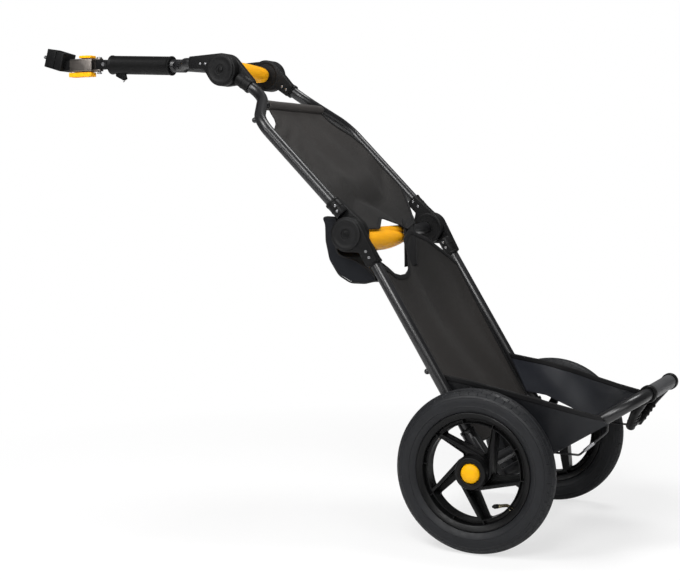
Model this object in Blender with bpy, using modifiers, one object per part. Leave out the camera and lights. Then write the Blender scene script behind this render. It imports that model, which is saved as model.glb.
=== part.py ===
"""Folding two-wheeled bicycle trailer with a seat-post hitch, in metres.

X runs rearwards, Y to the trailer's right, Z up. The shapes are laid out in a ground frame,
whose origin is on the floor under the middle of the axle. One empty then moves everything,
so that the world origin is where the seat post passes through the hitch clamp.
"""

import math

import bmesh
import bpy
from mathutils import Matrix, Vector

# Places in the side view, as (x, z)
AXLE = Vector((0.0, 0.150))
MID_PIVOT = Vector((-0.265, 0.570))
TOP_PIVOT = Vector((-0.596, 0.894))
SEAT_POST = Vector((-1.070, 0.936))
TRAY_PIVOT = Vector((0.030, 0.132))
TOP_RAIL = Vector((-0.486, 0.8195))

# Slopes in the side view, in degrees from +X, turning towards +Z
LOWER_SLOPE = -58.5
UPPER_SLOPE = -45.0
NECK_SLOPE = -33.7
TOW_SLOPE = 177.26
TRAY_SLOPE = 32.3
POST_TILT = 16.0
PANEL_LEAN = 1.45

# Distances from the middle plane
FRAME_Y = 0.202
TOP_Y = 0.094
WHEEL_Y = 0.239
LEG_Y = 0.174
WALL_Y = 0.1882

# Tubes
FRAME_TUBE = 0.011
UPPER_TUBE = 0.0112
TRAY_TUBE = 0.011
BEAM_TUBE = 0.011
BAR_TUBE = 0.0075
GAP = 0.0003

# Folding joints
DISC = 0.033
JOINT_HALF = 0.017
SOCKET = 0.0138
LOWER_OFFSET = 0.016
UPPER_OFFSET = 0.0156
UPPER_STUD = Vector((-0.4795, 0.7922))
UPPER_STUD_Y = 0.173
NECK_OFFSET = 0.0035
TOW_OFFSET = 0.0127
SOCKET_START = 0.0360
CAP = 0.0295
CAP_THICK = 0.0035

# Wheels
TYRE_SECTION = 0.0235
TYRE_CENTRE = 0.1265
RIM_FLANGE = 0.1085
RIM_INSIDE = 0.087
HUB = 0.0305
SPOKES = 5
SPOKE_EDGE = 0.0345
SPOKE_HALF = 0.0105
FIRST_SPOKE = 66.8
VALVE_ANGLE = -42.0
VALVE_END = (0.0435, -0.0550, 0.0270)
STUB = 0.006
BUTTON = 0.0175

# Tray
TRAY_DEPTH = 0.290
TRAY_CORNER = 0.078
STAND_Y = 0.088
STAND_FOOT_Y = 0.040

# Tow bar and hitch
TOW_TUBE = 0.014
SLEEVE = 0.0203
SLEEVE_END = 0.0215
SLEEVE_RUN = (-0.7795, -0.9350)
TOW_TUBE_END = 0.3395
PITCH_X = -0.9485
YAW_X = -0.9675
BOX_RUN = (-1.0365, -0.9785)
TAB_END = -0.9755
TOP_TAB_START = -1.0125
BOTTOM_TAB_START = -1.0295
TAB_LOW = 0.0168
TAB_HIGH = 0.0228
STEM_X = -0.9885
STEM = 0.0040
YAW_PIN = 0.0035
PITCH_PIN = 0.0030
HITCH_Z = 0.924
POST_BORE = 0.0159
BOLT = 0.0021
BOLT_Y = 0.0200

ROUND = 12
FINE = 18
WHEEL_STEPS = 30


def clear_scene():
    for old in list(bpy.data.objects):
        bpy.data.objects.remove(old, do_unlink=True)


def make_collection(name):
    group = bpy.data.collections.new(name)
    bpy.context.scene.collection.children.link(group)
    return group


def make_material(name, colour, roughness, metallic=0.0):
    made = bpy.data.materials.new(name)
    made.use_nodes = True
    shader = made.node_tree.nodes["Principled BSDF"]
    shader.inputs["Base Color"].default_value = (*colour, 1.0)
    shader.inputs["Roughness"].default_value = roughness
    shader.inputs["Metallic"].default_value = metallic
    return made


def painted_metal():
    return make_material("black_paint", (0.012, 0.012, 0.013), 0.22, 0.1)


def moulded_plastic():
    return make_material("black_plastic", (0.016, 0.016, 0.017), 0.5)


def yellow_plastic():
    return make_material("yellow_plastic", (0.86, 0.40, 0.02), 0.4)


def tyre_rubber():
    return make_material("tyre_rubber", (0.028, 0.029, 0.032), 0.6)


def soft_rubber():
    return make_material("soft_rubber", (0.02, 0.02, 0.021), 0.7)


def woven_fabric():
    return make_material("woven_fabric", (0.03, 0.029, 0.028), 0.75)


def bright_steel():
    return make_material("bright_steel", (0.6, 0.6, 0.6), 0.3, 1.0)


def bare_aluminium():
    return make_material("bare_aluminium", (0.55, 0.52, 0.51), 0.4, 1.0)


def brass():
    return make_material("brass", (0.6, 0.45, 0.2), 0.35, 1.0)


def grey_sleeve():
    return make_material("grey_sleeve", (0.16, 0.16, 0.16), 0.55)


def side_point(origin, slope, along, across=0.0):
    """A point of the side view, given along and across a line that leaves the origin."""
    turn = math.radians(slope)
    forward = Vector((math.cos(turn), math.sin(turn)))
    normal = Vector((-math.sin(turn), math.cos(turn)))
    return origin + forward * along + normal * across


def at(point, y):
    return Vector((point.x, y, point.y))


def arc(centre, radius, start, end, steps):
    """Points on an arc in a plane, angles in degrees."""
    points = []
    for step in range(steps + 1):
        turn = math.radians(start + (end - start) * step / steps)
        points.append((centre[0] + radius * math.cos(turn), centre[1] + radius * math.sin(turn)))
    return points


def bent_path(corners, radius, steps=5):
    """A path through corner points, each inner corner rounded with an arc."""
    corners = [Vector(corner) for corner in corners]
    path = [corners[0]]
    for before, corner, after in zip(corners, corners[1:], corners[2:]):
        back = (before - corner).normalized()
        ahead = (after - corner).normalized()
        half = back.angle(ahead) / 2
        reach = radius / math.tan(half)
        centre = corner + (back + ahead).normalized() * (radius / math.sin(half))
        start = (corner + back * reach - centre).normalized()
        end = (corner + ahead * reach - centre).normalized()
        for step in range(steps + 1):
            path.append(centre + start.slerp(end, step / steps) * radius)
    path.append(corners[-1])
    return path


class Workshop:
    """Holds the collections, materials and empties while the trailer is put together."""

    def __init__(self):
        self.parts = make_collection("bicycle_trailer")
        self.cutters = make_collection("cutters")
        self.origin = self.empty("trailer_origin", Vector((-SEAT_POST.x, 0.0, -SEAT_POST.y)), None)
        self.body_at = {}
        self.bodies = {}

    def empty(self, name, place, parent):
        marker = bpy.data.objects.new(name, None)
        marker.location = place
        marker.parent = parent
        self.parts.objects.link(marker)
        return marker

    def body(self, name, place):
        """An empty on a joint's axis, which carries the pieces that move about it."""
        self.body_at[name] = Vector(place)
        self.bodies[name] = self.empty(name + "_axis", Vector(place), self.origin)

    def keep(self, piece, name, body, material):
        """Names a finished piece and hangs it on its body."""
        piece.name = name
        piece.data.name = name
        piece.data.materials.clear()
        piece.data.materials.append(material)
        piece.parent = self.bodies[body]
        piece.location = piece.location - self.body_at[body]
        return piece

    def cutter(self, shape):
        for group in list(shape.users_collection):
            group.objects.unlink(shape)
        self.cutters.objects.link(shape)
        shape.name = "cut_" + shape.name
        shape.parent = self.origin
        shape.hide_render = True
        shape.display_type = "WIRE"
        return shape

    def boolean(self, piece, shape, operation):
        change = piece.modifiers.new(operation.lower() + "_" + shape.name, "BOOLEAN")
        change.operation = operation
        change.solver = "EXACT"
        change.object = self.cutter(shape)

    def join(self, piece, shape):
        self.boolean(piece, shape, "UNION")

    def cut(self, piece, shape):
        self.boolean(piece, shape, "DIFFERENCE")

    def link(self, piece):
        self.parts.objects.link(piece)
        return piece

    def take(self):
        """The object that a primitive operator has just made, moved to the parts."""
        piece = bpy.context.object
        for group in list(piece.users_collection):
            group.objects.unlink(piece)
        return self.link(piece)

    def to_mesh(self, curve):
        """Turns a curve into a welded mesh in the same place."""
        bpy.context.view_layer.update()
        graph = bpy.context.evaluated_depsgraph_get()
        mesh = bpy.data.meshes.new_from_object(curve.evaluated_get(graph))
        shell = bmesh.new()
        shell.from_mesh(mesh)
        bmesh.ops.remove_doubles(shell, verts=shell.verts, dist=0.00001)
        shell.to_mesh(mesh)
        shell.free()
        piece = self.link(bpy.data.objects.new(curve.name, mesh))
        piece.matrix_world = curve.matrix_world.copy()
        bpy.data.objects.remove(curve, do_unlink=True)
        return piece

    def rod(self, start, end, radius, sides=ROUND):
        """A round bar between two points."""
        start = Vector(start)
        end = Vector(end)
        run = end - start
        turn = run.to_track_quat("Z", "Y").to_euler()
        bpy.ops.mesh.primitive_cylinder_add(vertices=sides, radius=radius, depth=run.length,
                                            location=(start + end) / 2, rotation=turn)
        piece = self.take()
        piece.data.shade_smooth()
        piece.data.set_sharp_from_angle(angle=math.radians(40))
        return piece

    def block(self, low, high, round_by=0.0):
        """A box between two corners, its edges rounded if asked."""
        low = Vector(low)
        high = Vector(high)
        bpy.ops.mesh.primitive_cube_add(size=1.0, location=(low + high) / 2)
        piece = self.take()
        piece.data.transform(Matrix.Diagonal((*(high - low), 1.0)))
        if round_by:
            soften = piece.modifiers.new("rounded_edges", "BEVEL")
            soften.width = round_by
            soften.segments = 2
        return piece

    def tube(self, path, radius, resolution=4):
        """A bent round bar along a path."""
        curve = bpy.data.curves.new("tube", "CURVE")
        curve.dimensions = "3D"
        curve.bevel_depth = radius
        curve.bevel_resolution = resolution
        curve.use_fill_caps = True
        spline = curve.splines.new("POLY")
        spline.points.add(len(path) - 1)
        for point, place in zip(spline.points, path):
            point.co = (*place, 1.0)
        return self.link(bpy.data.objects.new("tube", curve))

    def sheet(self, outlines, thickness, place, turn):
        """A flat plate from closed outlines; the second and later ones are holes."""
        curve = bpy.data.curves.new("plate", "CURVE")
        curve.dimensions = "2D"
        curve.fill_mode = "BOTH"
        curve.extrude = thickness / 2
        for outline in outlines:
            spline = curve.splines.new("POLY")
            spline.points.add(len(outline) - 1)
            spline.use_cyclic_u = True
            for point, place_2d in zip(spline.points, outline):
                point.co = (place_2d[0], place_2d[1], 0.0, 1.0)
        piece = self.link(bpy.data.objects.new("plate", curve))
        piece.location = place
        piece.rotation_euler = turn
        return self.to_mesh(piece)

    def side_plate(self, outlines, y_low, y_high):
        """A plate whose outline is drawn in the side view."""
        return self.sheet(outlines, y_high - y_low, (0.0, (y_low + y_high) / 2, 0.0),
                          (math.radians(90), 0.0, 0.0))

    def turned(self, profile, steps, place, turn, closed=True):
        """A turned shape: its profile is (radius, height) and runs down its outer side."""
        mesh = bpy.data.meshes.new("turned")
        points = [(radius, 0.0, height) for radius, height in profile]
        edges = [(i, i + 1) for i in range(len(points) - 1)]
        if closed:
            edges.append((len(points) - 1, 0))
        mesh.from_pydata(points, edges, [])
        piece = self.link(bpy.data.objects.new("turned", mesh))
        spin = piece.modifiers.new("spin", "SCREW")
        spin.steps = steps
        spin.render_steps = steps
        spin.use_merge_vertices = True
        spin.merge_threshold = 0.00001
        spin.use_smooth_shade = True
        piece.location = place
        piece.rotation_euler = turn
        return piece


def outward(side):
    """Turns a shape's own Z axis to point away from the middle plane."""
    return (-side * math.pi / 2, 0.0, 0.0)


def sides():
    return (("left", -1), ("right", 1))


def span(side, near, far):
    """Orders two distances from the middle plane for the left or the right side."""
    return sorted((side * near, side * far))


def tyre_profile():
    outer = arc((TYRE_CENTRE, 0.0), TYRE_SECTION, 132, -132, 8)
    inner = arc((TYRE_CENTRE, 0.0), 0.0190, -144, 144, 5)
    bead_low = [(0.1080, -0.0142), (0.1012, -0.0135), (0.1012, -0.0090)]
    bead_high = [(radius, -height) for radius, height in reversed(bead_low)]
    return outer + bead_low + inner + bead_high


def rim_profile():
    upper = [(RIM_INSIDE, 0.0125), (0.0935, 0.0150), (0.1060, 0.0180), (RIM_FLANGE, 0.0180),
             (RIM_FLANGE, 0.0153), (0.1000, 0.0150), (0.0960, 0.0100)]
    return upper + [(radius, -height) for radius, height in reversed(upper)]


def hub_profile():
    return [(0.0183, 0.0165), (0.0183, 0.0270), (0.0200, 0.0285), (0.0270, 0.0285),
            (0.0300, 0.0250), (HUB, 0.0125), (HUB, -0.0125), (0.0250, -0.0185),
            (0.0136, -0.0185), (0.0136, -0.0105), (0.0090, -0.0105), (0.0090, 0.0085),
            (0.0136, 0.0085), (0.0136, 0.0165)]


def bearing_profile():
    """Two ball bearings and the thin spacer between them, down the outer side and back."""
    return [(0.0064, 0.0162), (0.0133, 0.0162), (0.0133, 0.0088), (0.0080, 0.0088),
            (0.0080, -0.0108), (0.0133, -0.0108), (0.0133, -0.0182), (0.0064, -0.0182)]


def stub_profile():
    return [(0.0, 0.0070), (0.0043, 0.0070), (0.0043, 0.0200), (0.0100, 0.0200),
            (0.0100, 0.0168), (STUB, 0.0168), (STUB, -0.0450), (STUB - 0.0008, -0.0460),
            (0.0, -0.0460)]


def button_profile():
    return [(0.0, 0.0345), (0.0080, 0.0335), (0.0140, 0.0308), (BUTTON, 0.0268),
            (BUTTON, 0.0245), (0.0040, 0.0245), (0.0040, 0.0120), (0.0, 0.0120)]


def spoke_outline(turn):
    """A wedge that leaves the hub at a tangent and meets the rim further round."""
    rim_reach = RIM_INSIDE + 0.005
    low_edge = SPOKE_EDGE - 0.0128
    flat = [(0.0, SPOKE_EDGE), (math.sqrt(rim_reach ** 2 - SPOKE_EDGE ** 2), SPOKE_EDGE),
            (math.sqrt(rim_reach ** 2 - low_edge ** 2), low_edge), (0.018, 0.0136), (0.0, 0.020)]
    foot = math.radians(turn)
    along = Vector((-math.sin(foot), math.cos(foot)))
    out = Vector((math.cos(foot), math.sin(foot)))
    return [tuple(along * x + out * y) for x, y in flat]


def wheel(shop, name, side, mats):
    centre = Vector((AXLE.x, side * WHEEL_Y, AXLE.y))
    turn = outward(side)
    body = "wheel_" + name
    shop.body(body, centre)
    shop.body("button_" + name, centre)
    tyre = shop.turned(tyre_profile(), WHEEL_STEPS, centre, turn)
    shop.keep(tyre, "tyre_" + name, body, mats["tyre"])
    bpy.ops.mesh.primitive_torus_add(major_segments=24, minor_segments=6, major_radius=TYRE_CENTRE,
                                     minor_radius=0.0152, location=centre, rotation=turn)
    inner_tube = shop.take()
    inner_tube.data.shade_smooth()
    spoked = shop.turned(rim_profile(), WHEEL_STEPS, centre, turn)
    shop.join(spoked, shop.turned(hub_profile(), FINE, centre, turn))
    for number in range(SPOKES):
        wedge = spoke_outline(FIRST_SPOKE + number * 360 / SPOKES)
        shop.join(spoked, shop.sheet([wedge], 2 * SPOKE_HALF, centre, turn))
    hub_hole = [(0.0, 0.0500), (0.0179, 0.0500), (0.0179, 0.0165), (0.0136, 0.0160),
                (0.0136, 0.0085), (0.0090, 0.0085), (0.0090, -0.0105), (0.0136, -0.0105),
                (0.0136, -0.0500), (0.0, -0.0500)]
    shop.cut(spoked, shop.turned(hub_hole, FINE, centre, turn, closed=False))
    valve_way = wheel_frame(centre, turn)
    hole_ends = (valve_point(valve_way, 0.070, 0.0), valve_point(valve_way, 0.1040, 0.0))
    shop.cut(spoked, shop.rod(*hole_ends, 0.0046))
    shop.keep(spoked, "spoked_wheel_" + name, body, mats["plastic"])
    stem = [valve_point(valve_way, 0.1160, 0.0), valve_point(valve_way, 0.0840, 0.0),
            valve_way @ Vector(VALVE_END)]
    shop.join(inner_tube, shop.to_mesh(shop.tube(bent_path(stem, 0.008, 3), 0.0036, 2)))
    shop.keep(inner_tube, "inner_tube_" + name, body, mats["rubber"])
    bearings = shop.turned(bearing_profile(), FINE, centre, turn)
    shop.keep(bearings, "bearings_" + name, body, mats["steel"])
    stub = shop.turned(stub_profile(), ROUND, centre, turn, closed=False)
    shop.keep(stub, "stub_axle_" + name, "lower_frame", mats["steel"])
    button = shop.turned(button_profile(), FINE, centre, turn, closed=False)
    shop.keep(button, "release_button_" + name, "button_" + name, mats["yellow"])


def wheel_frame(centre, turn):
    return Matrix.Translation(centre) @ Matrix.Rotation(turn[0], 4, "X")


def valve_point(frame, radius, height):
    turn = math.radians(VALVE_ANGLE)
    return frame @ Vector((radius * math.cos(turn), radius * math.sin(turn), height))


def joint_outline(pivot, slope, offset, reach, half_width):
    """A disc with an arm: one edge leaves it at a tangent, the other at a short neck."""
    lean = 1 if offset > 0 else -1
    middle = abs(offset)
    outer = Vector((reach, middle + half_width))
    neck = Vector((0.041, middle - half_width))
    far_turn = math.degrees(math.atan2(outer.y, outer.x) + math.acos(DISC / outer.length))
    near_turn = math.degrees(math.atan2(neck.y, neck.x) - math.acos(DISC / neck.length))
    round_part = arc((0.0, 0.0), DISC, far_turn, near_turn + 360, 11)
    flat = round_part + [tuple(neck), (reach, middle - half_width), tuple(outer)]
    return [tuple(side_point(pivot, slope, along, lean * across)) for along, across in flat]


def joint_half(shop, pivot, slope, offset, reach, plate_y, socket_y, tube_radius):
    """One plastic half of a folding joint: a disc, an arm and the socket for a tube."""
    outline = joint_outline(pivot, slope, offset, reach - 0.002, 0.0125)
    piece = shop.side_plate([outline], *plate_y)
    start = at(side_point(pivot, slope, SOCKET_START, offset), socket_y)
    end = at(side_point(pivot, slope, reach, offset), socket_y)
    shop.join(piece, shop.rod(start, end, SOCKET, FINE))
    bore_start = at(side_point(pivot, slope, SOCKET_START + 0.004, offset), socket_y)
    bore_end = at(side_point(pivot, slope, reach + 0.02, offset), socket_y)
    shop.cut(piece, shop.rod(bore_start, bore_end, tube_radius + GAP, FINE))
    low = min(plate_y) - 0.01
    high = max(plate_y) + 0.01
    shop.cut(piece, shop.rod(at(pivot, low), at(pivot, high), BAR_TUBE + GAP + GAP, FINE))
    return piece


def joint_caps(shop, label, pivot, middle_y, body, mats):
    """The two dished caps on the outer faces of a folding joint."""
    profile = [(0.0, CAP_THICK - 0.0020), (0.0070, CAP_THICK - 0.0020), (0.0085, CAP_THICK - 0.0005),
             (0.0130, CAP_THICK), (CAP - 0.0025, CAP_THICK), (CAP, CAP_THICK - 0.0015),
             (CAP, 0.0), (0.0, 0.0)]
    face = middle_y + JOINT_HALF + GAP
    for name, side in sides():
        cap = shop.turned(profile, FINE, at(pivot, side * face), outward(side), closed=False)
        shop.keep(cap, label + "_joint_cap_" + name, body, mats["plastic"])


def twist_grip(shop, pivot, hang, y_big, y_small, big, small):
    """A tapered grip on the lock bar; its own axis may hang beside the bar's."""
    length = y_small - y_big
    loop = [(0.0, length), (small - 0.006, length - 0.001), (small - 0.002, length - 0.004),
            (small, length - 0.010), (small + 0.45 * (big - small), length * 0.6),
            (small + 0.85 * (big - small), length * 0.3), (big, length * 0.08),
            (big - 0.002, 0.0), (0.0, 0.0)]
    grip = shop.turned(loop, FINE, at(pivot + hang, y_big), outward(1), closed=False)
    shop.join(grip, shop.rod(at(pivot, y_big), at(pivot, y_small - 0.004), BAR_TUBE + 0.003))
    shop.cut(grip, shop.rod(at(pivot, y_big - 0.01), at(pivot, y_small + 0.01), BAR_TUBE + GAP))
    return grip


def lower_point(along, across=0.0):
    return side_point(MID_PIVOT, LOWER_SLOPE, along, LOWER_OFFSET + across)


def upper_point(along, across=0.0):
    """Up the upper tube from the middle joint, and across towards the load side."""
    return side_point(MID_PIVOT, UPPER_SLOPE, -along, UPPER_OFFSET + across)


def tray_point(along, across=0.0):
    return side_point(TRAY_PIVOT, TRAY_SLOPE, along, across)


def tow_point(along, across=0.0):
    return side_point(TOP_PIVOT, TOW_SLOPE, along, across - TOW_OFFSET)


def dropout(shop, name, side, mats):
    """The bracket that joins a lower tube, the axle beam, the stub axle and the tray."""
    boss = arc(AXLE, 0.0175, 150, 290, 8)
    ear = arc(TRAY_PIVOT, 0.0135, -75, 45, 6)
    shoulder = [tuple(lower_point(0.440, 0.0125)), tuple(lower_point(0.440, -0.0125))]
    low, high = span(side, 0.1905, 0.2145)
    piece = shop.side_plate([boss + ear + shoulder], low, high)
    socket = (at(lower_point(0.4250), side * FRAME_Y), at(lower_point(0.4950), side * FRAME_Y))
    shop.join(piece, shop.rod(*socket, SOCKET, FINE))
    shop.join(piece, shop.rod(at(AXLE, side * 0.1915), at(AXLE, side * 0.2190), 0.0150, FINE))
    bore = (at(lower_point(0.4000), side * FRAME_Y), at(lower_point(0.4810), side * FRAME_Y))
    shop.cut(piece, shop.rod(*bore, FRAME_TUBE + GAP, FINE))
    shop.cut(piece, shop.rod(at(AXLE, side * 0.17), at(AXLE, side * 0.24), STUB + GAP, FINE))
    hole = (at(TRAY_PIVOT, side * 0.17), at(TRAY_PIVOT, side * 0.24))
    shop.cut(piece, shop.rod(*hole, 0.0050 + GAP))
    shop.keep(piece, "dropout_" + name, "lower_frame", mats["paint"])


def stud(shop, tube, foot, slope, reach):
    """A small round stud on the front of a tube, for a strap."""
    away = front_normal(slope)
    shop.join(tube, shop.rod(foot - away * 0.004, foot + away * reach, 0.0038, 10))
    bpy.ops.mesh.primitive_uv_sphere_add(segments=10, ring_count=6, radius=0.0056,
                                         location=foot + away * reach)
    shop.join(tube, shop.take())


def front_normal(slope):
    turn = math.radians(slope)
    return Vector((math.sin(turn), 0.0, -math.cos(turn)))


def lower_frame(shop, mats):
    shop.body("lower_frame", at(AXLE, 0.0))
    for name, side in sides():
        y = side * FRAME_Y
        tube = shop.rod(at(lower_point(0.0405), y), at(lower_point(0.4800), y), FRAME_TUBE)
        stud(shop, tube, at(lower_point(0.2955, -FRAME_TUBE), y), LOWER_SLOPE, 0.002)
        shop.keep(tube, "lower_tube_" + name, "lower_frame", mats["paint"])
        outer = span(side, FRAME_Y + GAP, FRAME_Y + JOINT_HALF)
        half = joint_half(shop, MID_PIVOT, LOWER_SLOPE, LOWER_OFFSET, 0.074, outer, y, FRAME_TUBE)
        shop.keep(half, "mid_joint_lower_" + name, "lower_frame", mats["plastic"])
        dropout(shop, name, side, mats)
    beam_place = side_point(AXLE, LOWER_SLOPE, 0.0, -0.010)
    beam = shop.rod(at(beam_place, -0.1900), at(beam_place, 0.1900), BEAM_TUBE)
    shop.keep(beam, "axle_beam", "lower_frame", mats["paint"])
    joint_caps(shop, "mid", MID_PIVOT, FRAME_Y, "lower_frame", mats)


def lock_bar(shop, label, pivot, middle_y, hang, grip_ends, grip_sizes, mats):
    body = label + "_lock"
    shop.body(body, at(pivot, 0.0))
    end = middle_y + JOINT_HALF - 0.001
    bar = shop.rod(at(pivot, -end), at(pivot, end), BAR_TUBE)
    shop.keep(bar, label + "_lock_bar", body, mats["paint"])
    grip = twist_grip(shop, pivot, Vector(hang), *grip_ends, *grip_sizes)
    shop.keep(grip, label + "_twist_grip", body, mats["yellow"])


def upper_tube_path(side):
    """Narrow at the top joint, then out and down to the full width of the frame."""
    top = side_point(TOP_PIVOT, NECK_SLOPE, 0.0405, NECK_OFFSET)
    elbow = side_point(TOP_PIVOT, NECK_SLOPE, 0.1045, NECK_OFFSET)
    wide = upper_point(0.2895)
    corners = [at(top, side * TOP_Y), at(elbow, side * TOP_Y), at(wide, side * FRAME_Y),
               at(upper_point(0.0405), side * FRAME_Y)]
    return bent_path(corners, 0.061, 6)


def upper_frame(shop, mats):
    shop.body("upper_frame", at(MID_PIVOT, 0.0))
    for name, side in sides():
        y = side * FRAME_Y
        tube = shop.to_mesh(shop.tube(upper_tube_path(side), UPPER_TUBE))
        stud(shop, tube, at(UPPER_STUD, side * UPPER_STUD_Y), UPPER_SLOPE, 0.006)
        shop.keep(tube, "upper_tube_" + name, "upper_frame", mats["paint"])
        inner = span(side, FRAME_Y - JOINT_HALF, FRAME_Y)
        half = joint_half(shop, MID_PIVOT, UPPER_SLOPE + 180, -UPPER_OFFSET, 0.070, inner, y,
                          UPPER_TUBE)
        shop.keep(half, "mid_joint_upper_" + name, "upper_frame", mats["plastic"])
        inner = span(side, TOP_Y - JOINT_HALF, TOP_Y)
        neck = joint_half(shop, TOP_PIVOT, NECK_SLOPE, NECK_OFFSET, 0.070, inner, side * TOP_Y,
                          UPPER_TUBE)
        shop.keep(neck, "top_joint_lower_" + name, "upper_frame", mats["plastic"])
    rail = shop.rod(at(TOP_RAIL, -0.135), at(TOP_RAIL, 0.135), BAR_TUBE)
    for side in (-1, 1):
        shop.cut(rail, shop.to_mesh(shop.tube(upper_tube_path(side), UPPER_TUBE + GAP)))
        bpy.context.view_layer.update()
    shop.keep(rail, "upper_rail", "upper_frame", mats["paint"])


def tow_bar(shop, mats):
    shop.body("tow_bar", at(TOP_PIVOT, 0.0))
    socket_end = 0.078
    for name, side in sides():
        outer = span(side, TOP_Y + GAP, TOP_Y + JOINT_HALF)
        half = joint_half(shop, TOP_PIVOT, TOW_SLOPE, -TOW_OFFSET, socket_end, outer, side * TOP_Y,
                          FRAME_TUBE)
        shop.keep(half, "top_joint_upper_" + name, "tow_bar", mats["plastic"])
    main = shop.rod(at(tow_point(0.150), 0.0), at(tow_point(TOW_TUBE_END), 0.0), TOW_TUBE, FINE)
    for side in (-1, 1):
        corners = [at(tow_point(0.0405), side * TOP_Y), at(tow_point(0.092), side * TOP_Y),
                   at(tow_point(0.150), side * 0.015), at(tow_point(0.176), side * 0.001)]
        arm = shop.to_mesh(shop.tube(bent_path(corners, 0.022, 4), FRAME_TUBE))
        shop.join(main, arm)
    bore = (at(tow_point(TOW_TUBE_END - 0.0485), 0.0), at(tow_point(TOW_TUBE_END + 0.0200), 0.0))
    shop.cut(main, shop.rod(*bore, 0.0080 + GAP, FINE))
    shop.keep(main, "tow_yoke", "tow_bar", mats["paint"])
    sleeve_length = SLEEVE_RUN[0] - SLEEVE_RUN[1]
    bore_radius = TOW_TUBE + GAP
    loop = [(bore_radius, sleeve_length), (SLEEVE_END, sleeve_length),
            (SLEEVE_END, sleeve_length - 0.004), (SLEEVE, sleeve_length - 0.010), (SLEEVE, 0.010),
            (SLEEVE_END, 0.004), (SLEEVE_END, 0.0), (bore_radius, 0.0)]
    start = TOP_PIVOT.x - SLEEVE_RUN[0]
    along_tow = (0.0, math.radians(90 - TOW_SLOPE), 0.0)
    sleeve = shop.turned(loop, FINE, at(tow_point(start), 0.0), along_tow)
    hang = start + sleeve_length
    lug = [tow_point(hang - 0.012, 0.0180), tow_point(hang - 0.036, 0.0180),
           tow_point(hang - 0.040, 0.0300), tow_point(hang - 0.032, 0.0335),
           tow_point(hang - 0.012, 0.0245)]
    plate = shop.side_plate([[tuple(point) for point in lug]], -0.0030, 0.0030)
    eye = tow_point(hang - 0.0335, 0.0280)
    shop.cut(plate, shop.rod(at(eye, -0.01), at(eye, 0.01), 0.0026, 12))
    shop.join(sleeve, plate)
    shop.keep(sleeve, "tow_sleeve", "tow_bar", mats["plastic"])
    joint_caps(shop, "top", TOP_PIVOT, TOP_Y, "tow_bar", mats)


def swivel(shop, mats):
    """The shank that rolls in the tow tube, with a fork for the pitch pin."""
    front = tow_point(TOW_TUBE_END + 0.0005)
    shop.body("swivel", at(front, 0.0))
    shank = shop.rod(at(tow_point(TOW_TUBE_END - 0.0465), 0.0),
                     at(tow_point(TOW_TUBE_END + 0.0070), 0.0), 0.0080, FINE)
    for side in (-1, 1):
        low, high = span(side, 0.0090, 0.0135)
        cheek = shop.block((PITCH_X - 0.0085, low, HITCH_Z - 0.0095),
                           (PITCH_X + 0.0075, high, HITCH_Z + 0.0095), 0.002)
        shop.join(shank, cheek)
    bridge = shop.block((PITCH_X + 0.0060, -0.0125, HITCH_Z - 0.0090),
                        (PITCH_X + 0.0110, 0.0125, HITCH_Z + 0.0090))
    shop.join(shank, bridge)
    pin_hole = ((PITCH_X, -0.03, HITCH_Z), (PITCH_X, 0.03, HITCH_Z))
    shop.cut(shank, shop.rod(*pin_hole, PITCH_PIN + GAP))
    shop.keep(shank, "swivel_fork", "swivel", mats["steel"])
    pin = shop.rod((PITCH_X, -0.0150, HITCH_Z), (PITCH_X, 0.0150, HITCH_Z), PITCH_PIN)
    shop.keep(pin, "pitch_pin", "swivel", mats["steel"])


def link(shop, mats):
    """The block between the pitch pin and the yaw pin."""
    shop.body("link", (PITCH_X, 0.0, HITCH_Z))
    block = shop.block((YAW_X - 0.0065, -0.0085, HITCH_Z - 0.0100),
                       (PITCH_X - 0.0020, 0.0085, HITCH_Z + 0.0100), 0.0020)
    knuckle = ((PITCH_X, -0.0085, HITCH_Z), (PITCH_X, 0.0085, HITCH_Z))
    shop.join(block, shop.rod(*knuckle, 0.0055))
    pin_hole = ((PITCH_X, -0.03, HITCH_Z), (PITCH_X, 0.03, HITCH_Z))
    shop.cut(block, shop.rod(*pin_hole, PITCH_PIN + GAP))
    yaw_hole = ((YAW_X, 0.0, HITCH_Z - 0.03), (YAW_X, 0.0, HITCH_Z + 0.03))
    shop.cut(block, shop.rod(*yaw_hole, YAW_PIN + GAP))
    shop.keep(block, "hitch_link", "link", mats["plastic"])


def post_frame():
    """The clamp's own axes: its Z follows the leaning seat post."""
    return Matrix.Translation(at(SEAT_POST, 0.0)) @ Matrix.Rotation(math.radians(POST_TILT), 4, "Y")


def post_block(shop, low, high, round_by=0.0):
    piece = shop.block(low, high, round_by)
    piece.matrix_world = post_frame() @ Matrix.Translation((Vector(low) + Vector(high)) / 2)
    return piece


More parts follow.
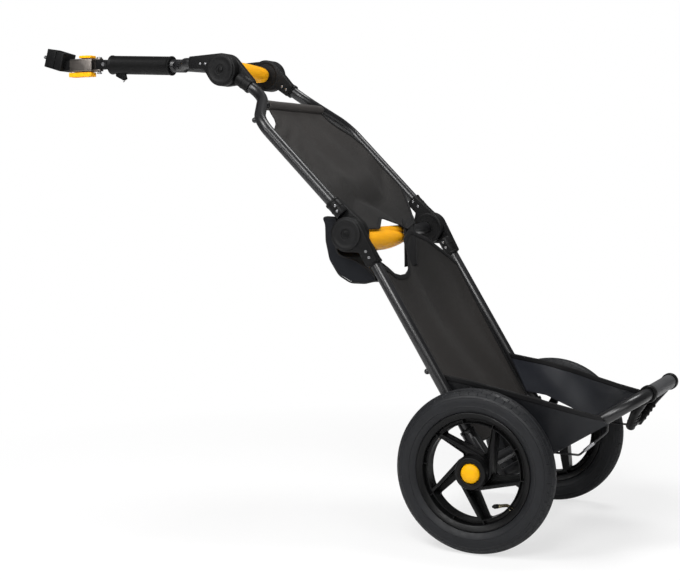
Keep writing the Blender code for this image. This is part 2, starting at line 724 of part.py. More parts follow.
def hitch_head(shop, mats):
    """The part that stays straight behind the seat post: receiver, clamp and bolts."""
    shop.body("hitch_head", (YAW_X, 0.0, HITCH_Z))
    left, right = BOX_RUN
    receiver = shop.block((left, -0.0150, HITCH_Z - 0.0140), (right, 0.0150, HITCH_Z + 0.0140), 0.0015)
    hollow = shop.block((left - 0.01, -0.0125, HITCH_Z - 0.0115),
                        (right - 0.004, 0.0125, HITCH_Z + 0.0115))
    shop.cut(receiver, hollow)
    for sign in (-1, 1):
        low, high = sorted((sign * 0.0104, sign * 0.0136))
        lip = shop.block((right - 0.003, -0.0085, HITCH_Z + low),
                         (YAW_X + 0.0080, 0.0085, HITCH_Z + high))
        shop.join(receiver, lip)
        stem_hole = ((STEM_X, 0.0, HITCH_Z + sign * 0.008), (STEM_X, 0.0, HITCH_Z + sign * 0.02))
        shop.cut(receiver, shop.rod(*stem_hole, STEM + GAP))
    yaw_hole = ((YAW_X, 0.0, HITCH_Z - 0.03), (YAW_X, 0.0, HITCH_Z + 0.03))
    shop.cut(receiver, shop.rod(*yaw_hole, YAW_PIN + GAP))
    shop.keep(receiver, "hitch_receiver", "hitch_head", mats["aluminium"])
    pin_profile = [(0.0, 0.0170), (0.0062, 0.0170), (0.0062, 0.0140), (YAW_PIN, 0.0140),
                   (YAW_PIN, -0.0165), (0.0055, -0.0167), (0.0055, -0.0195), (0.0, -0.0195)]
    pin = shop.turned(pin_profile, ROUND, (YAW_X, 0.0, HITCH_Z), (0.0, 0.0, 0.0), closed=False)
    shop.keep(pin, "yaw_pin", "hitch_head", mats["steel"])
    clamp(shop, mats)


def clamp(shop, mats):
    half_width = 0.024
    half_height = 0.020
    rear = post_block(shop, (0.0006, -half_width, -half_height),
                      (0.0200, half_width, half_height), 0.003)
    tongue = shop.block((-1.056, -0.0120, HITCH_Z - 0.0110), (-1.010, 0.0120, HITCH_Z + 0.0110))
    shop.join(rear, tongue)
    front = post_block(shop, (-0.0265, -half_width, -half_height),
                       (-0.0006, half_width, half_height), 0.003)
    for piece in (rear, front):
        bore = shop.rod((0, 0, -0.05), (0, 0, 0.05), POST_BORE, 32)
        bore.matrix_world = post_frame()
        shop.cut(piece, bore)
    for name, side in sides():
        bolt_place = post_frame() @ bolt_turn(side * BOLT_Y)
        for piece in (rear, front):
            hole = shop.rod((0, 0, -0.05), (0, 0, 0.05), BOLT + GAP)
            hole.matrix_world = bolt_place
            shop.cut(piece, hole)
        head = [(0.0, 0.0310), (0.0036, 0.0310), (0.0038, 0.0269), (BOLT, 0.0269),
                (BOLT, -0.0180), (0.0, -0.0180)]
        bolt = shop.turned(head, ROUND, (0, 0, 0), (0, 0, 0), closed=False)
        bolt.matrix_world = bolt_place
        shop.keep(bolt, "clamp_bolt_" + name, "hitch_head", mats["steel"])
    shop.keep(rear, "clamp_rear", "hitch_head", mats["plastic"])
    shop.keep(front, "clamp_front", "hitch_head", mats["plastic"])


def bolt_turn(y):
    """Bolts run forwards and backwards through both clamp halves, heads at the front."""
    return Matrix.Translation((0.0, y, 0.0)) @ Matrix.Rotation(-math.pi / 2, 4, "Y")


def release_tabs(shop, mats):
    for name, sign, front in (("top", 1, TOP_TAB_START), ("bottom", -1, BOTTOM_TAB_START)):
        body = "tab_" + name
        shop.body(body, (STEM_X, 0.0, HITCH_Z + sign * 0.0170))
        low, high = sorted((sign * TAB_LOW, sign * TAB_HIGH))
        tab = shop.block((front, -0.0110, HITCH_Z + low), (TAB_END, 0.0110, HITCH_Z + high), 0.0012)
        stem = ((STEM_X, 0.0, HITCH_Z + sign * 0.0118), (STEM_X, 0.0, HITCH_Z + sign * 0.0180))
        shop.join(tab, shop.rod(*stem, STEM))
        shop.keep(tab, "release_tab_" + name, body, mats["yellow"])


def tray(shop, mats):
    shop.body("tray", at(TRAY_PIVOT, 0.0))
    corner_y = LEG_Y - TRAY_CORNER
    plan = [(-0.012, -LEG_Y)]
    plan += arc((TRAY_DEPTH - TRAY_CORNER, -corner_y), TRAY_CORNER, -90, 0, 7)
    plan += arc((TRAY_DEPTH - TRAY_CORNER, corner_y), TRAY_CORNER, 0, 90, 7)
    plan += [(-0.012, LEG_Y)]
    path = [at(tray_point(along), y) for along, y in plan]
    frame = shop.to_mesh(shop.tube(path, TRAY_TUBE))
    for name, side in sides():
        hole = (at(TRAY_PIVOT, side * 0.14), at(TRAY_PIVOT, side * 0.20))
        shop.cut(frame, shop.rod(*hole, 0.0050 + GAP))
        shop.join(frame, strap_wire(shop, side))
    shop.keep(frame, "tray_tube", "tray", mats["paint"])
    for name, side in sides():
        profile = [(0.0, 0.2185), (0.0085, 0.2185), (0.0085, 0.2149), (0.0050, 0.2149),
                   (0.0050, 0.1570), (0.0, 0.1570)]
        pin = shop.turned(profile, ROUND, at(TRAY_PIVOT, 0.0), outward(side), closed=False)
        shop.keep(pin, "tray_pin_" + name, "lower_frame", mats["steel"])
    floor_sling(shop, mats)


def strap_wire(shop, side):
    """The bent wire that is welded under a leg of the tray, to hook a strap on."""
    y = side * (LEG_Y + 0.001)
    corners = [at(tray_point(0.224, -TRAY_TUBE + 0.002), y), at(tray_point(0.215, -0.0220), y),
               at(tray_point(0.148, -0.0340), y), at(tray_point(0.110, -TRAY_TUBE + 0.002), y)]
    return shop.to_mesh(shop.tube(bent_path(corners, 0.008, 3), 0.0020, 2))


def floor_sling(shop, mats):
    """The fabric floor that hangs between the legs of the tray."""
    clearance = 0.007
    y = LEG_Y - TRAY_TUBE - clearance
    round_by = TRAY_CORNER - TRAY_TUBE - clearance
    reach = TRAY_DEPTH - TRAY_TUBE - clearance
    plan = [(-y, 0.060)] + [(-y + round_by - round_by * math.cos(math.radians(t)),
                             reach - round_by + round_by * math.sin(math.radians(t)))
                            for t in range(0, 91, 15)]
    plan += [(-x, z) for x, z in reversed(plan)]
    lean = Matrix.Rotation(math.radians(-TRAY_SLOPE), 4, "Y")
    turn = lean @ Matrix.Rotation(math.radians(-90), 4, "Z")
    mirror_y = [(-x, z) for x, z in plan]
    piece = shop.sheet([mirror_y], 0.0020, at(tray_point(0.0, 0.004), 0.0), turn.to_euler())
    shop.keep(piece, "tray_floor", "tray", mats["fabric"])


def kickstand(shop, mats):
    """A trapezoid loop that turns about the rear bar of the tray."""
    pivot = tray_point(TRAY_DEPTH)
    shop.body("kickstand", at(pivot, 0.0))
    ring = [(TRAY_TUBE + 0.0008, 0.0065), (TRAY_TUBE + 0.0048, 0.0050), (TRAY_TUBE + 0.0048, -0.0050),
            (TRAY_TUBE + 0.0008, -0.0065)]
    loop = None
    foot = side_point(pivot, TRAY_SLOPE + 180 + 22.0, 0.100)
    knee = side_point(pivot, TRAY_SLOPE + 180 + 24.0, 0.052)
    for side in (-1, 1):
        collar = shop.turned(ring, FINE, at(pivot, side * STAND_Y), outward(1))
        top = side_point(pivot, TRAY_SLOPE + 180 + 24.0, TRAY_TUBE + 0.003)
        arm = [at(top, side * STAND_Y), at(knee, side * (STAND_Y - 0.014)),
               at(foot, side * STAND_FOOT_Y)]
        if loop is None:
            loop = collar
        else:
            shop.join(loop, collar)
        shop.join(loop, shop.to_mesh(shop.tube(bent_path(arm, 0.03, 3), 0.0060, 4)))
    pad_end = STAND_FOOT_Y + 0.006
    pad = shop.block((-0.0075, -pad_end, -0.0075), (0.0075, pad_end, 0.0075), 0.002)
    pad.rotation_euler = (0.0, math.radians(-TRAY_SLOPE - 22.0), 0.0)
    pad.location = at(foot, 0.0)
    shop.join(loop, pad)
    shop.keep(loop, "kickstand", "kickstand", mats["plastic"])
    inner = STAND_Y - 0.0070
    tube = [(TRAY_TUBE + 0.0005, inner), (TRAY_TUBE + 0.0025, inner), (TRAY_TUBE + 0.0025, -inner),
            (TRAY_TUBE + 0.0005, -inner)]
    sleeve = shop.turned(tube, FINE, at(pivot, 0.0), outward(1))
    shop.keep(sleeve, "bar_sleeve", "tray", mats["grey"])


def side_walls(shop, mats):
    """The fabric cheeks of the tray, from the lower tubes to its rear bar."""
    outline = [(-0.0810, 0.3150), (0.0720, 0.2930), (0.2150, 0.2640), (0.2290, 0.2450),
               (0.1500, 0.1960), (0.1260, 0.1830), (0.0330, 0.2070), (-0.0420, 0.2340)]
    for name, side in sides():
        low, high = span(side, WALL_Y - 0.0007, WALL_Y + 0.0007)
        wall = shop.side_plate([outline], low, high)
        shop.keep(wall, "side_wall_" + name, "lower_frame", mats["fabric"])


def panel_turn(slope):
    """Turns a plan drawn as (y, up the frame) into a leaning panel."""
    lean = Matrix.Rotation(math.radians(-slope), 4, "Y")
    return (lean @ Matrix(((0, -1, 0, 0), (1, 0, 0, 0), (0, 0, 1, 0), (0, 0, 0, 1)))).to_euler()


def lower_panel(shop, mats):
    edge = FRAME_Y - FRAME_TUBE - 0.0045
    mouth = arc((-0.062, -0.040), 0.062, 200, 325, 8)
    plan = [(-edge, -0.4100), (-0.1680, -0.4250), (-0.1680, -0.4550), (0.1680, -0.4550),
            (0.1680, -0.4250), (edge, -0.4100), (edge, -0.0950), (0.1400, -0.0450), (0.1300, -0.0280),
            (0.0480, -0.0280), (0.0300, -0.0450)]
    plan += list(reversed(mouth))
    plan += [(-edge, -0.0950)]
    turn = panel_turn(LOWER_SLOPE - PANEL_LEAN)
    piece = shop.sheet([plan], 0.0020, at(lower_point(0.0, 0.004), 0.0), turn)
    shop.keep(piece, "lower_panel", "lower_frame", mats["fabric"])


def upper_panel(shop, mats):
    edge = FRAME_Y - UPPER_TUBE - 0.0045
    plan = [(-edge, 0.1050), (-0.1200, 0.0720), (-0.0400, 0.0480), (0.0350, 0.0420), (0.0500, 0.0240),
            (0.1180, 0.0240), (0.1400, 0.0600), (edge, 0.1200), (edge, 0.2350), (0.1650, 0.2550),
            (0.1100, 0.3130), (0.0900, 0.3225), (-0.0900, 0.3225), (-0.1100, 0.3130),
            (-0.1650, 0.2550), (-edge, 0.2350)]
    turn = panel_turn(UPPER_SLOPE)
    piece = shop.sheet([plan], 0.0020, at(upper_point(0.0, 0.002), 0.0), turn)
    shop.keep(piece, "upper_panel", "upper_frame", mats["fabric"])


def pouch(shop, mats):
    """The storage bag on the front of the frame, beside the middle joint."""
    outline = [(-0.3060, 0.6020), (-0.3300, 0.6020), (-0.3300, 0.5650), (-0.3250, 0.5350),
               (-0.3160, 0.5120), (-0.3030, 0.4920), (-0.2840, 0.4770), (-0.2620, 0.4720),
               (-0.2280, 0.4780), (-0.2360, 0.5000), (-0.2620, 0.5180), (-0.3060, 0.5300)]
    piece = shop.side_plate([outline], -0.1810, -0.0850)
    shop.keep(piece, "pouch", "lower_frame", mats["fabric"])


def main():
    clear_scene()
    mats = {"paint": painted_metal(), "plastic": moulded_plastic(), "yellow": yellow_plastic(),
            "tyre": tyre_rubber(), "rubber": soft_rubber(), "fabric": woven_fabric(),
            "steel": bright_steel(), "aluminium": bare_aluminium(), "brass": brass(),
            "grey": grey_sleeve()}
    shop = Workshop()
    lower_frame(shop, mats)
    for name, side in sides():
        wheel(shop, name, side, mats)
    lock_bar(shop, "mid", MID_PIVOT, FRAME_Y, (0.005, -0.014), (-0.165, 0.040), (0.0205, 0.0135), mats)
    upper_frame(shop, mats)
    lock_bar(shop, "top", TOP_PIVOT, TOP_Y, (0.0, 0.0), (-0.070, 0.072), (0.0205, 0.0155), mats)
    tow_bar(shop, mats)
    swivel(shop, mats)
    link(shop, mats)
    hitch_head(shop, mats)
    release_tabs(shop, mats)
    tray(shop, mats)
    kickstand(shop, mats)
    side_walls(shop, mats)
    lower_panel(shop, mats)
    upper_panel(shop, mats)
    pouch(shop, mats)


main()
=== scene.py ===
"""The looks of a folding bicycle trailer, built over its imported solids.

Sizes are in metres. X runs rearwards, Y to the trailer's right and Z up. Shapes are laid out over
the floor under the axle, and keep() then moves them to the frame of the clamp's middle.
"""

import math

import bmesh
import bpy
from mathutils import Matrix, Vector


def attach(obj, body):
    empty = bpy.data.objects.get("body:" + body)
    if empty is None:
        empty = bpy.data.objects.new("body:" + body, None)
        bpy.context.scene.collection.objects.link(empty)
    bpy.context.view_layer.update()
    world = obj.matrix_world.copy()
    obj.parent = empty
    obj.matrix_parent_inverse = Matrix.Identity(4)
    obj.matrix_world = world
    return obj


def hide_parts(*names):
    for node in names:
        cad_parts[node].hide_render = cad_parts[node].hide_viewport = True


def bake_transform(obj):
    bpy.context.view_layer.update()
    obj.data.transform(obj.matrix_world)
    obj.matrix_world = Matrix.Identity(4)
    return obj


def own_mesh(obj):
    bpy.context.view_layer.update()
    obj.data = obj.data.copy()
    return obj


bl_info = {
    "name": "Folding Bicycle Trailer",
    "version": (1, 0, 0),
    "blender": (4, 5, 0),
    "location": "View3D > Sidebar > Trailer",
    "description": "Builds a folding cargo trailer with its wheels, frame, hitch and fabric",
    "category": "Add Mesh",
}

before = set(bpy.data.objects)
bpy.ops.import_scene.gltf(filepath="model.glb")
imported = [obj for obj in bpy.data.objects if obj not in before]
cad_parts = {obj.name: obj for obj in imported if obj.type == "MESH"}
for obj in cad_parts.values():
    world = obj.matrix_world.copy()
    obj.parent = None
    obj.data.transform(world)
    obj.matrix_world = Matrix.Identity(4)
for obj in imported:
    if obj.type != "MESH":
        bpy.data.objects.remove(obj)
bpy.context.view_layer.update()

# Places in the side view, as (x, z) over the floor under the axle
AXLE = Vector((0.0, 0.150))
MID_PIVOT = Vector((-0.265, 0.570))
TOP_PIVOT = Vector((-0.596, 0.894))
CLAMP_MIDDLE = Vector((-1.070, 0.936))
TRAY_PIVOT = Vector((0.030, 0.132))
TOP_RAIL = Vector((-0.486, 0.8195))
TO_ROW = Matrix.Translation((-CLAMP_MIDDLE.x, 0.0, -CLAMP_MIDDLE.y))

# Slopes in the side view, in degrees from +X, turning towards +Z
LOWER_SLOPE = -58.5
UPPER_SLOPE = -45.0
NECK_SLOPE = -33.7
TOW_SLOPE = 177.26
TRAY_SLOPE = 32.3
BORE_TILT = 16.0
PANEL_LEAN = 1.45

# Distances from the middle plane
FRAME_Y = 0.202
TOP_Y = 0.094
WHEEL_Y = 0.239
LEG_Y = 0.174
WALL_Y = 0.1882

# How far the tubes stand off their pivots, and the folding joints
LOWER_OFFSET = 0.016
UPPER_OFFSET = 0.0156
NECK_OFFSET = 0.0035
TOW_OFFSET = 0.0127
DISC = 0.033
SCREW_HEAD = 0.0026
SOCKET = 0.0138
JOINT_HALF = 0.017
TUBE_START = 0.0405
BAR_TUBE = 0.0075
BEAM_TUBE = 0.011
BEAM_END = 0.1900

# Wheels
TYRE_CENTRE = 0.1265
TREAD_STEPS = 159
RIM_INSIDE = 0.0875
SPOKES = 5
WEB_BACK = -0.0176
WEB_THICKNESS = 0.0058
FIRST_RIB = 67.0
VALVE_ANGLE = -42.0
VALVE_END = (0.0435, -0.0550, 0.0270)

# Tray and hitch
TRAY_DEPTH = 0.290
TRAY_CORNER = 0.078
STAND_Y = 0.088
STAND_FOOT_Y = 0.030
PITCH_X = -0.9485
YAW_X = -0.9675
HITCH_Z = 0.924
BOX_FRONT = -1.0365
BOX_REAR = -0.9785
TOW_TUBE_END = 0.3395
STEM_X = -0.9885
TAB_END = -0.9830
TAB_HALF = 0.0110

# Release tabs: name, up or down, front end, and how far its plate and its ribs stand off
TABS = (("top", 1, -1.0150, 0.0208, 0.0215), ("bottom", -1, -1.0430, 0.0250, 0.0257))

# Fabric's painted light and shade: a band is two places on X and the cloth's painted shade at
# each, and a wall has a painted light tint before it
PANEL_PAINTED_SHADE = ((0.58, 0.79, 1.0, 0.0), (0.84, 0.93, 0.05, 0.75))
# The far (right) wall's inside is painted lighter and the near (left) wall darker, as painted
# light and shade, each with a painted shade band along X
WALL_PAINTED_LIGHT = {"left": (0.6, (1.04, 1.22, 0.15, 0.75)), "right": (1.9, (1.00, 1.22, 0.90, 0.10))}
HEM_LIFT = 0.0006
WALL_FRONT = (-0.0420, 0.2340)
WALL_REAR = (0.2278, 0.2435)

# Stage; a light has a name, a place, a target, its watts and its size
CAMERA_PLACE = (1.918, -2.598, -0.264)
CAMERA_TURN = (85.52, 0.0, 25.33)
CAMERA_LENS = 74.46
WHITE = (1.0, 1.0, 1.0, 1.0)
LIGHTS = (("key", (-0.3, -2.1, 2.3), (0.7, 0.0, -0.5), 74.0, 1.6),
          ("side", (-0.4, -2.4, 0.5), (0.9, 0.0, -0.5), 12.0, 0.7),
          ("front", (1.45, -2.55, 1.25), (0.8, 0.0, -0.3), 50.0, 1.1),
          ("fill", (3.4, -2.4, 1.0), (0.8, 0.0, -0.4), 22.0, 1.8),
          ("overhead", (1.5, 0.9, 2.4), (1.0, 0.0, -0.6), 46.0, 1.3))

SIDES = (("left", -1), ("right", 1))


class TrailerSizes(bpy.types.PropertyGroup):
    """The sizes of the trailer that a user would change."""

    frame_tube: bpy.props.FloatProperty(
        name="Frame Tube", description="Radius of the lower frame, tow and tray tubes",
        default=0.011, min=0.008, max=0.014, subtype="DISTANCE")
    upper_tube: bpy.props.FloatProperty(
        name="Upper Tube", description="Radius of the two bent upper tubes",
        default=0.0112, min=0.008, max=0.0115, subtype="DISTANCE")
    tow_tube: bpy.props.FloatProperty(
        name="Tow Tube", description="Radius of the single tow tube",
        default=0.014, min=0.010, max=0.016, subtype="DISTANCE")
    tyre_section: bpy.props.FloatProperty(
        name="Tyre Section", description="Radius of the tyre's round section",
        default=0.0231, min=0.018, max=0.0235, subtype="DISTANCE")
    tread_depth: bpy.props.FloatProperty(
        name="Tread Depth", description="Height of the tread blocks",
        default=0.0007, min=0.0, max=0.002, subtype="DISTANCE")
    grip_big: bpy.props.FloatProperty(
        name="Grip", description="Largest radius of the two lock grips",
        default=0.0205, min=0.014, max=0.024, subtype="DISTANCE")
    cloth: bpy.props.FloatProperty(
        name="Cloth", description="Thickness of the fabric panels",
        default=0.0011, min=0.0004, max=0.003, subtype="DISTANCE")
    hem: bpy.props.FloatProperty(
        name="Hem", description="Width of the sewn hems",
        default=0.016, min=0.006, max=0.03, subtype="DISTANCE")
    sag: bpy.props.FloatProperty(
        name="Sag", description="How far the middle of a fabric panel hangs",
        default=0.011, min=0.0, max=0.03, subtype="DISTANCE")


class TrailerColours(bpy.types.PropertyGroup):
    """The colours of the trailer that a user would change."""

    paint: bpy.props.FloatVectorProperty(
        name="Frame Paint", description="Colour of the painted tubes",
        default=(0.0060, 0.0060, 0.0068), min=0.0, max=1.0, size=3, subtype="COLOR")
    plastic: bpy.props.FloatVectorProperty(
        name="Plastic", description="Colour of the moulded black parts",
        default=(0.0045, 0.0045, 0.0047), min=0.0, max=1.0, size=3, subtype="COLOR")
    yellow: bpy.props.FloatVectorProperty(
        name="Yellow", description="Colour of the grips and the release tabs",
        default=(1.0, 0.440, 0.008), min=0.0, max=1.0, size=3, subtype="COLOR")
    button: bpy.props.FloatVectorProperty(
        name="Wheel Button", description="Colour of the wheels' release buttons",
        default=(0.720, 0.360, 0.002), min=0.0, max=1.0, size=3, subtype="COLOR")
    tyre: bpy.props.FloatVectorProperty(
        name="Tyre", description="Colour of the tyre rubber",
        default=(0.0058, 0.0062, 0.0075), min=0.0, max=1.0, size=3, subtype="COLOR")
    panel: bpy.props.FloatVectorProperty(
        name="Panel Fabric", description="Colour of the upper and lower fabric panels",
        default=(0.0150, 0.0135, 0.0125), min=0.0, max=1.0, size=3, subtype="COLOR")
    wall: bpy.props.FloatVectorProperty(
        name="Wall Fabric", description="Colour of the tray's fabric walls and floor",
        default=(0.0060, 0.0066, 0.0085), min=0.0, max=1.0, size=3, subtype="COLOR")


def side_point(origin, slope, along, across=0.0):
    """A place in the side view, measured along and across a slope."""
    turn = math.radians(slope)
    run = Vector((math.cos(turn), math.sin(turn)))
    return origin + run * along + Vector((-run.y, run.x)) * across


def at(place, y):
    return Vector((place.x, y, place.y))


def lower_point(along, across=0.0):
    return side_point(MID_PIVOT, LOWER_SLOPE, along, LOWER_OFFSET + across)


def upper_point(along, across=0.0):
    """Up the upper tube from the middle joint, and across towards the load side."""
    return side_point(MID_PIVOT, UPPER_SLOPE, -along, UPPER_OFFSET + across)


def tray_point(along, across=0.0):
    return side_point(TRAY_PIVOT, TRAY_SLOPE, along, across)


def tow_point(along, across=0.0):
    return side_point(TOP_PIVOT, TOW_SLOPE, along, across - TOW_OFFSET)


def polar(radius, angle):
    turn = math.radians(angle)
    return Vector((radius * math.cos(turn), radius * math.sin(turn)))


def arc(centre, radius, start, end, steps):
    """Places on a circle in the plane, from one angle to another."""
    return [Vector(centre) + polar(radius, start + (end - start) * i / steps)
            for i in range(steps + 1)]


def bend(here, back, ahead, radius):
    """A round bend at a corner: its middle, its size, and the ways from there to its two ends."""
    half = back.angle(ahead) / 2
    reach = min(radius / math.tan(half), back.length * 0.49, ahead.length * 0.49)
    size = reach * math.tan(half)
    inward = (back.normalized() + ahead.normalized()).normalized()
    middle = here + inward * size / math.sin(half)
    start = here + back.normalized() * reach - middle
    end = here + ahead.normalized() * reach - middle
    return middle, size, start, end


def fillet(corners, radius, steps=5):
    """Rounds a closed outline; a corner with a third number keeps its own radius."""
    outline = []
    for number, corner in enumerate(corners):
        here = Vector(corner[:2])
        back = Vector(corners[number - 1][:2]) - here
        ahead = Vector(corners[(number + 1) % len(corners)][:2]) - here
        own = corner[2] if len(corner) > 2 else radius
        if own <= 0 or back.angle(ahead) / 2 > math.pi / 2 - 0.03:
            outline.append(here)
            continue
        middle, _, start, end = bend(here, back, ahead, own)
        turn = math.atan2(start.x * end.y - start.y * end.x, start.dot(end))
        for i in range(steps + 1):
            outline.append(middle + Matrix.Rotation(turn * i / steps, 2) @ start)
    return outline


def bent_path(corners, radius, steps=8):
    """Straight runs between corners, joined by round bends."""
    path = [Vector(corners[0])]
    for before, here, after in zip(corners, corners[1:], corners[2:]):
        here = Vector(here)
        back = Vector(before) - here
        ahead = Vector(after) - here
        middle, size, start, end = bend(here, back, ahead, radius)
        start.normalize()
        end.normalize()
        path += [middle + start.slerp(end, i / steps) * size for i in range(steps + 1)]
    path.append(Vector(corners[-1]))
    return path


def places_along(path, scales=None):
    """A place at each point of a path, with its Z running along the path."""
    runs = [(after - before).normalized() for before, after in zip(path, path[1:])]
    heads = [runs[0]] + [(a + b).normalized() for a, b in zip(runs, runs[1:])] + [runs[-1]]
    turn = heads[0].to_track_quat("Z", "Y")
    places = []
    for number, point in enumerate(path):
        if number:
            turn = heads[number - 1].rotation_difference(heads[number]) @ turn
        size = scales[number] if scales else 1.0
        places.append(Matrix.Translation(point) @ turn.to_matrix().to_4x4()
                      @ Matrix.Diagonal((size, size, 1.0, 1.0)))
    return places


def outward(side):
    return Matrix.Rotation(-side * math.pi / 2, 4, "X")


def facing(place, y, side=1):
    """Axes at a place of the side view whose Z points out to one side of the trailer."""
    return Matrix.Translation(at(place, y)) @ outward(side)


def side_view(y):
    """Turns a plan drawn as (x, z) into the side view at a distance from the middle plane."""
    return Matrix.Translation((0.0, y, 0.0)) @ Matrix.Rotation(math.pi / 2, 4, "X")


def between(start, end):
    """A place at start whose Z points to end."""
    run = Vector(end) - Vector(start)
    return Matrix.Translation(start) @ run.to_track_quat("Z", "Y").to_matrix().to_4x4()


def turned(profile, place=None, steps=72, closed=False):
    """A turned form: its profile of (radius, height) spins round Z."""
    form = bmesh.new()
    verts = [form.verts.new((radius, 0.0, height)) for radius, height in profile]
    edges = [form.edges.new(pair) for pair in zip(verts, verts[1:])]
    if closed:
        edges.append(form.edges.new((verts[-1], verts[0])))
    bmesh.ops.spin(form, geom=verts + edges, cent=(0, 0, 0), axis=(0, 0, 1), dvec=(0, 0, 0),
                   angle=math.tau, steps=steps, use_merge=True, use_duplicate=False)
    bmesh.ops.remove_doubles(form, verts=form.verts[:], dist=0.000002)
    bmesh.ops.recalc_face_normals(form, faces=form.faces[:])
    if place is not None:
        form.transform(place)
    return form


def rod(start, end, radius, round_by=0.0006, steps=40):
    """A round bar with softened ends."""
    length = (Vector(end) - Vector(start)).length
    soft = round_by * 0.3
    profile = [(0.0, 0.0), (radius - round_by, 0.0), (radius - soft, soft), (radius, round_by),
               (radius, length - round_by), (radius - soft, length - soft),
               (radius - round_by, length), (0.0, length)]
    return turned(profile, between(start, end), steps)


def carried(outline, places, cap=True):
    """Carries a closed outline along a row of places."""
    form = bmesh.new()
    verts = [form.verts.new((x, y, 0.0)) for x, y in outline]
    edges = [form.edges.new((a, b)) for a, b in zip(verts, verts[1:] + verts[:1])]
    bmesh.ops.transform(form, matrix=places[0], verts=verts)
    for before, after in zip(places, places[1:]):
        made = bmesh.ops.extrude_edge_only(form, edges=edges)["geom"]
        verts = [g for g in made if isinstance(g, bmesh.types.BMVert)]
        edges = [g for g in made if isinstance(g, bmesh.types.BMEdge) and g.is_boundary]
        bmesh.ops.transform(form, matrix=after @ before.inverted(), verts=verts)
    if cap:
        bmesh.ops.holes_fill(form, edges=[e for e in form.edges if e.is_boundary], sides=0)
    bmesh.ops.recalc_face_normals(form, faces=form.faces[:])
    return form


def circle(radius, steps=32):
    return [polar(radius, 360.0 * i / steps) for i in range(steps)]


def pipe(path, radius, steps=32, ends=0.0008):
    """A round tube or wire along a path, with softened ends."""
    path = [Vector(point) for point in path]
    first = (path[1] - path[0]).normalized()
    last = (path[-1] - path[-2]).normalized()
    ends = min(ends, radius * 0.6)
    path = [path[0], path[0] + first * ends] + path[1:-1] + [path[-1] - last * ends, path[-1]]
    scales = [1 - ends / radius] + [1.0] * (len(path) - 2) + [1 - ends / radius]
    return carried(circle(radius, steps), places_along(path, scales))


def plate(outline, low, high, place=None, soften=0.0008, segments=2):
    """A flat plate between two heights, with softened edges."""
    form = bmesh.new()
    face = form.faces.new([form.verts.new((x, y, low)) for x, y in outline])
    made = bmesh.ops.extrude_face_region(form, geom=[face])["geom"]
    verts = [g for g in made if isinstance(g, bmesh.types.BMVert)]
    bmesh.ops.translate(form, vec=(0, 0, high - low), verts=verts)
    bmesh.ops.recalc_face_normals(form, faces=form.faces[:])
    if soften:
        soft_edges(form, soften, segments)
    if place is not None:
        form.transform(place)
    return form


def soft_edges(form, width, segments=2, angle=35.0):
    sharp = [e for e in form.edges
             if e.is_manifold and e.calc_face_angle(0.0) > math.radians(angle)]
    bmesh.ops.bevel(form, geom=sharp, offset=width, offset_type="OFFSET", segments=segments,
                    profile=0.5, affect="EDGES", clamp_overlap=True, material=-1)


def block(low, high, soften=0.001, place=None, segments=2):
    """A box between two corners, with softened edges."""
    low, high = Vector(low), Vector(high)
    form = bmesh.new()
    bmesh.ops.create_cube(form, size=1.0)
    size = high - low
    form.transform(Matrix.Translation((low + high) / 2) @ Matrix.Diagonal((*size, 1.0)))
    if soften:
        bmesh.ops.bevel(form, geom=form.edges[:], offset=soften, offset_type="OFFSET",
                        segments=segments, profile=0.5, affect="EDGES", clamp_overlap=True,
                        material=-1)
    if place is not None:
        form.transform(place)
    return form


def join(*forms):
    """Puts several closed forms together as one piece."""
    whole = bmesh.new()
    for form in forms:
        shell = bpy.data.meshes.new("shell")
        form.to_mesh(shell)
        form.free()
        whole.from_mesh(shell)
        bpy.data.meshes.remove(shell)
    return whole


def keep(form, name, finish, body=None, stands_for=(), smooth=38.0):
    """Makes a finished form an object in the row's frame, which rides on a body."""
    form.transform(TO_ROW)
    mesh = bpy.data.meshes.new(name)
    form.to_mesh(mesh)
    form.free()
    mesh.shade_smooth()
    if smooth:
        mesh.set_sharp_from_angle(angle=math.radians(smooth))
    mesh.materials.append(finish)
    piece = bpy.data.objects.new(name, mesh)
    bpy.context.scene.collection.objects.link(piece)
    if body:
        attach(piece, body)
    if stands_for:
        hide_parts(*([stands_for] if isinstance(stands_for, str) else stands_for))
    return piece


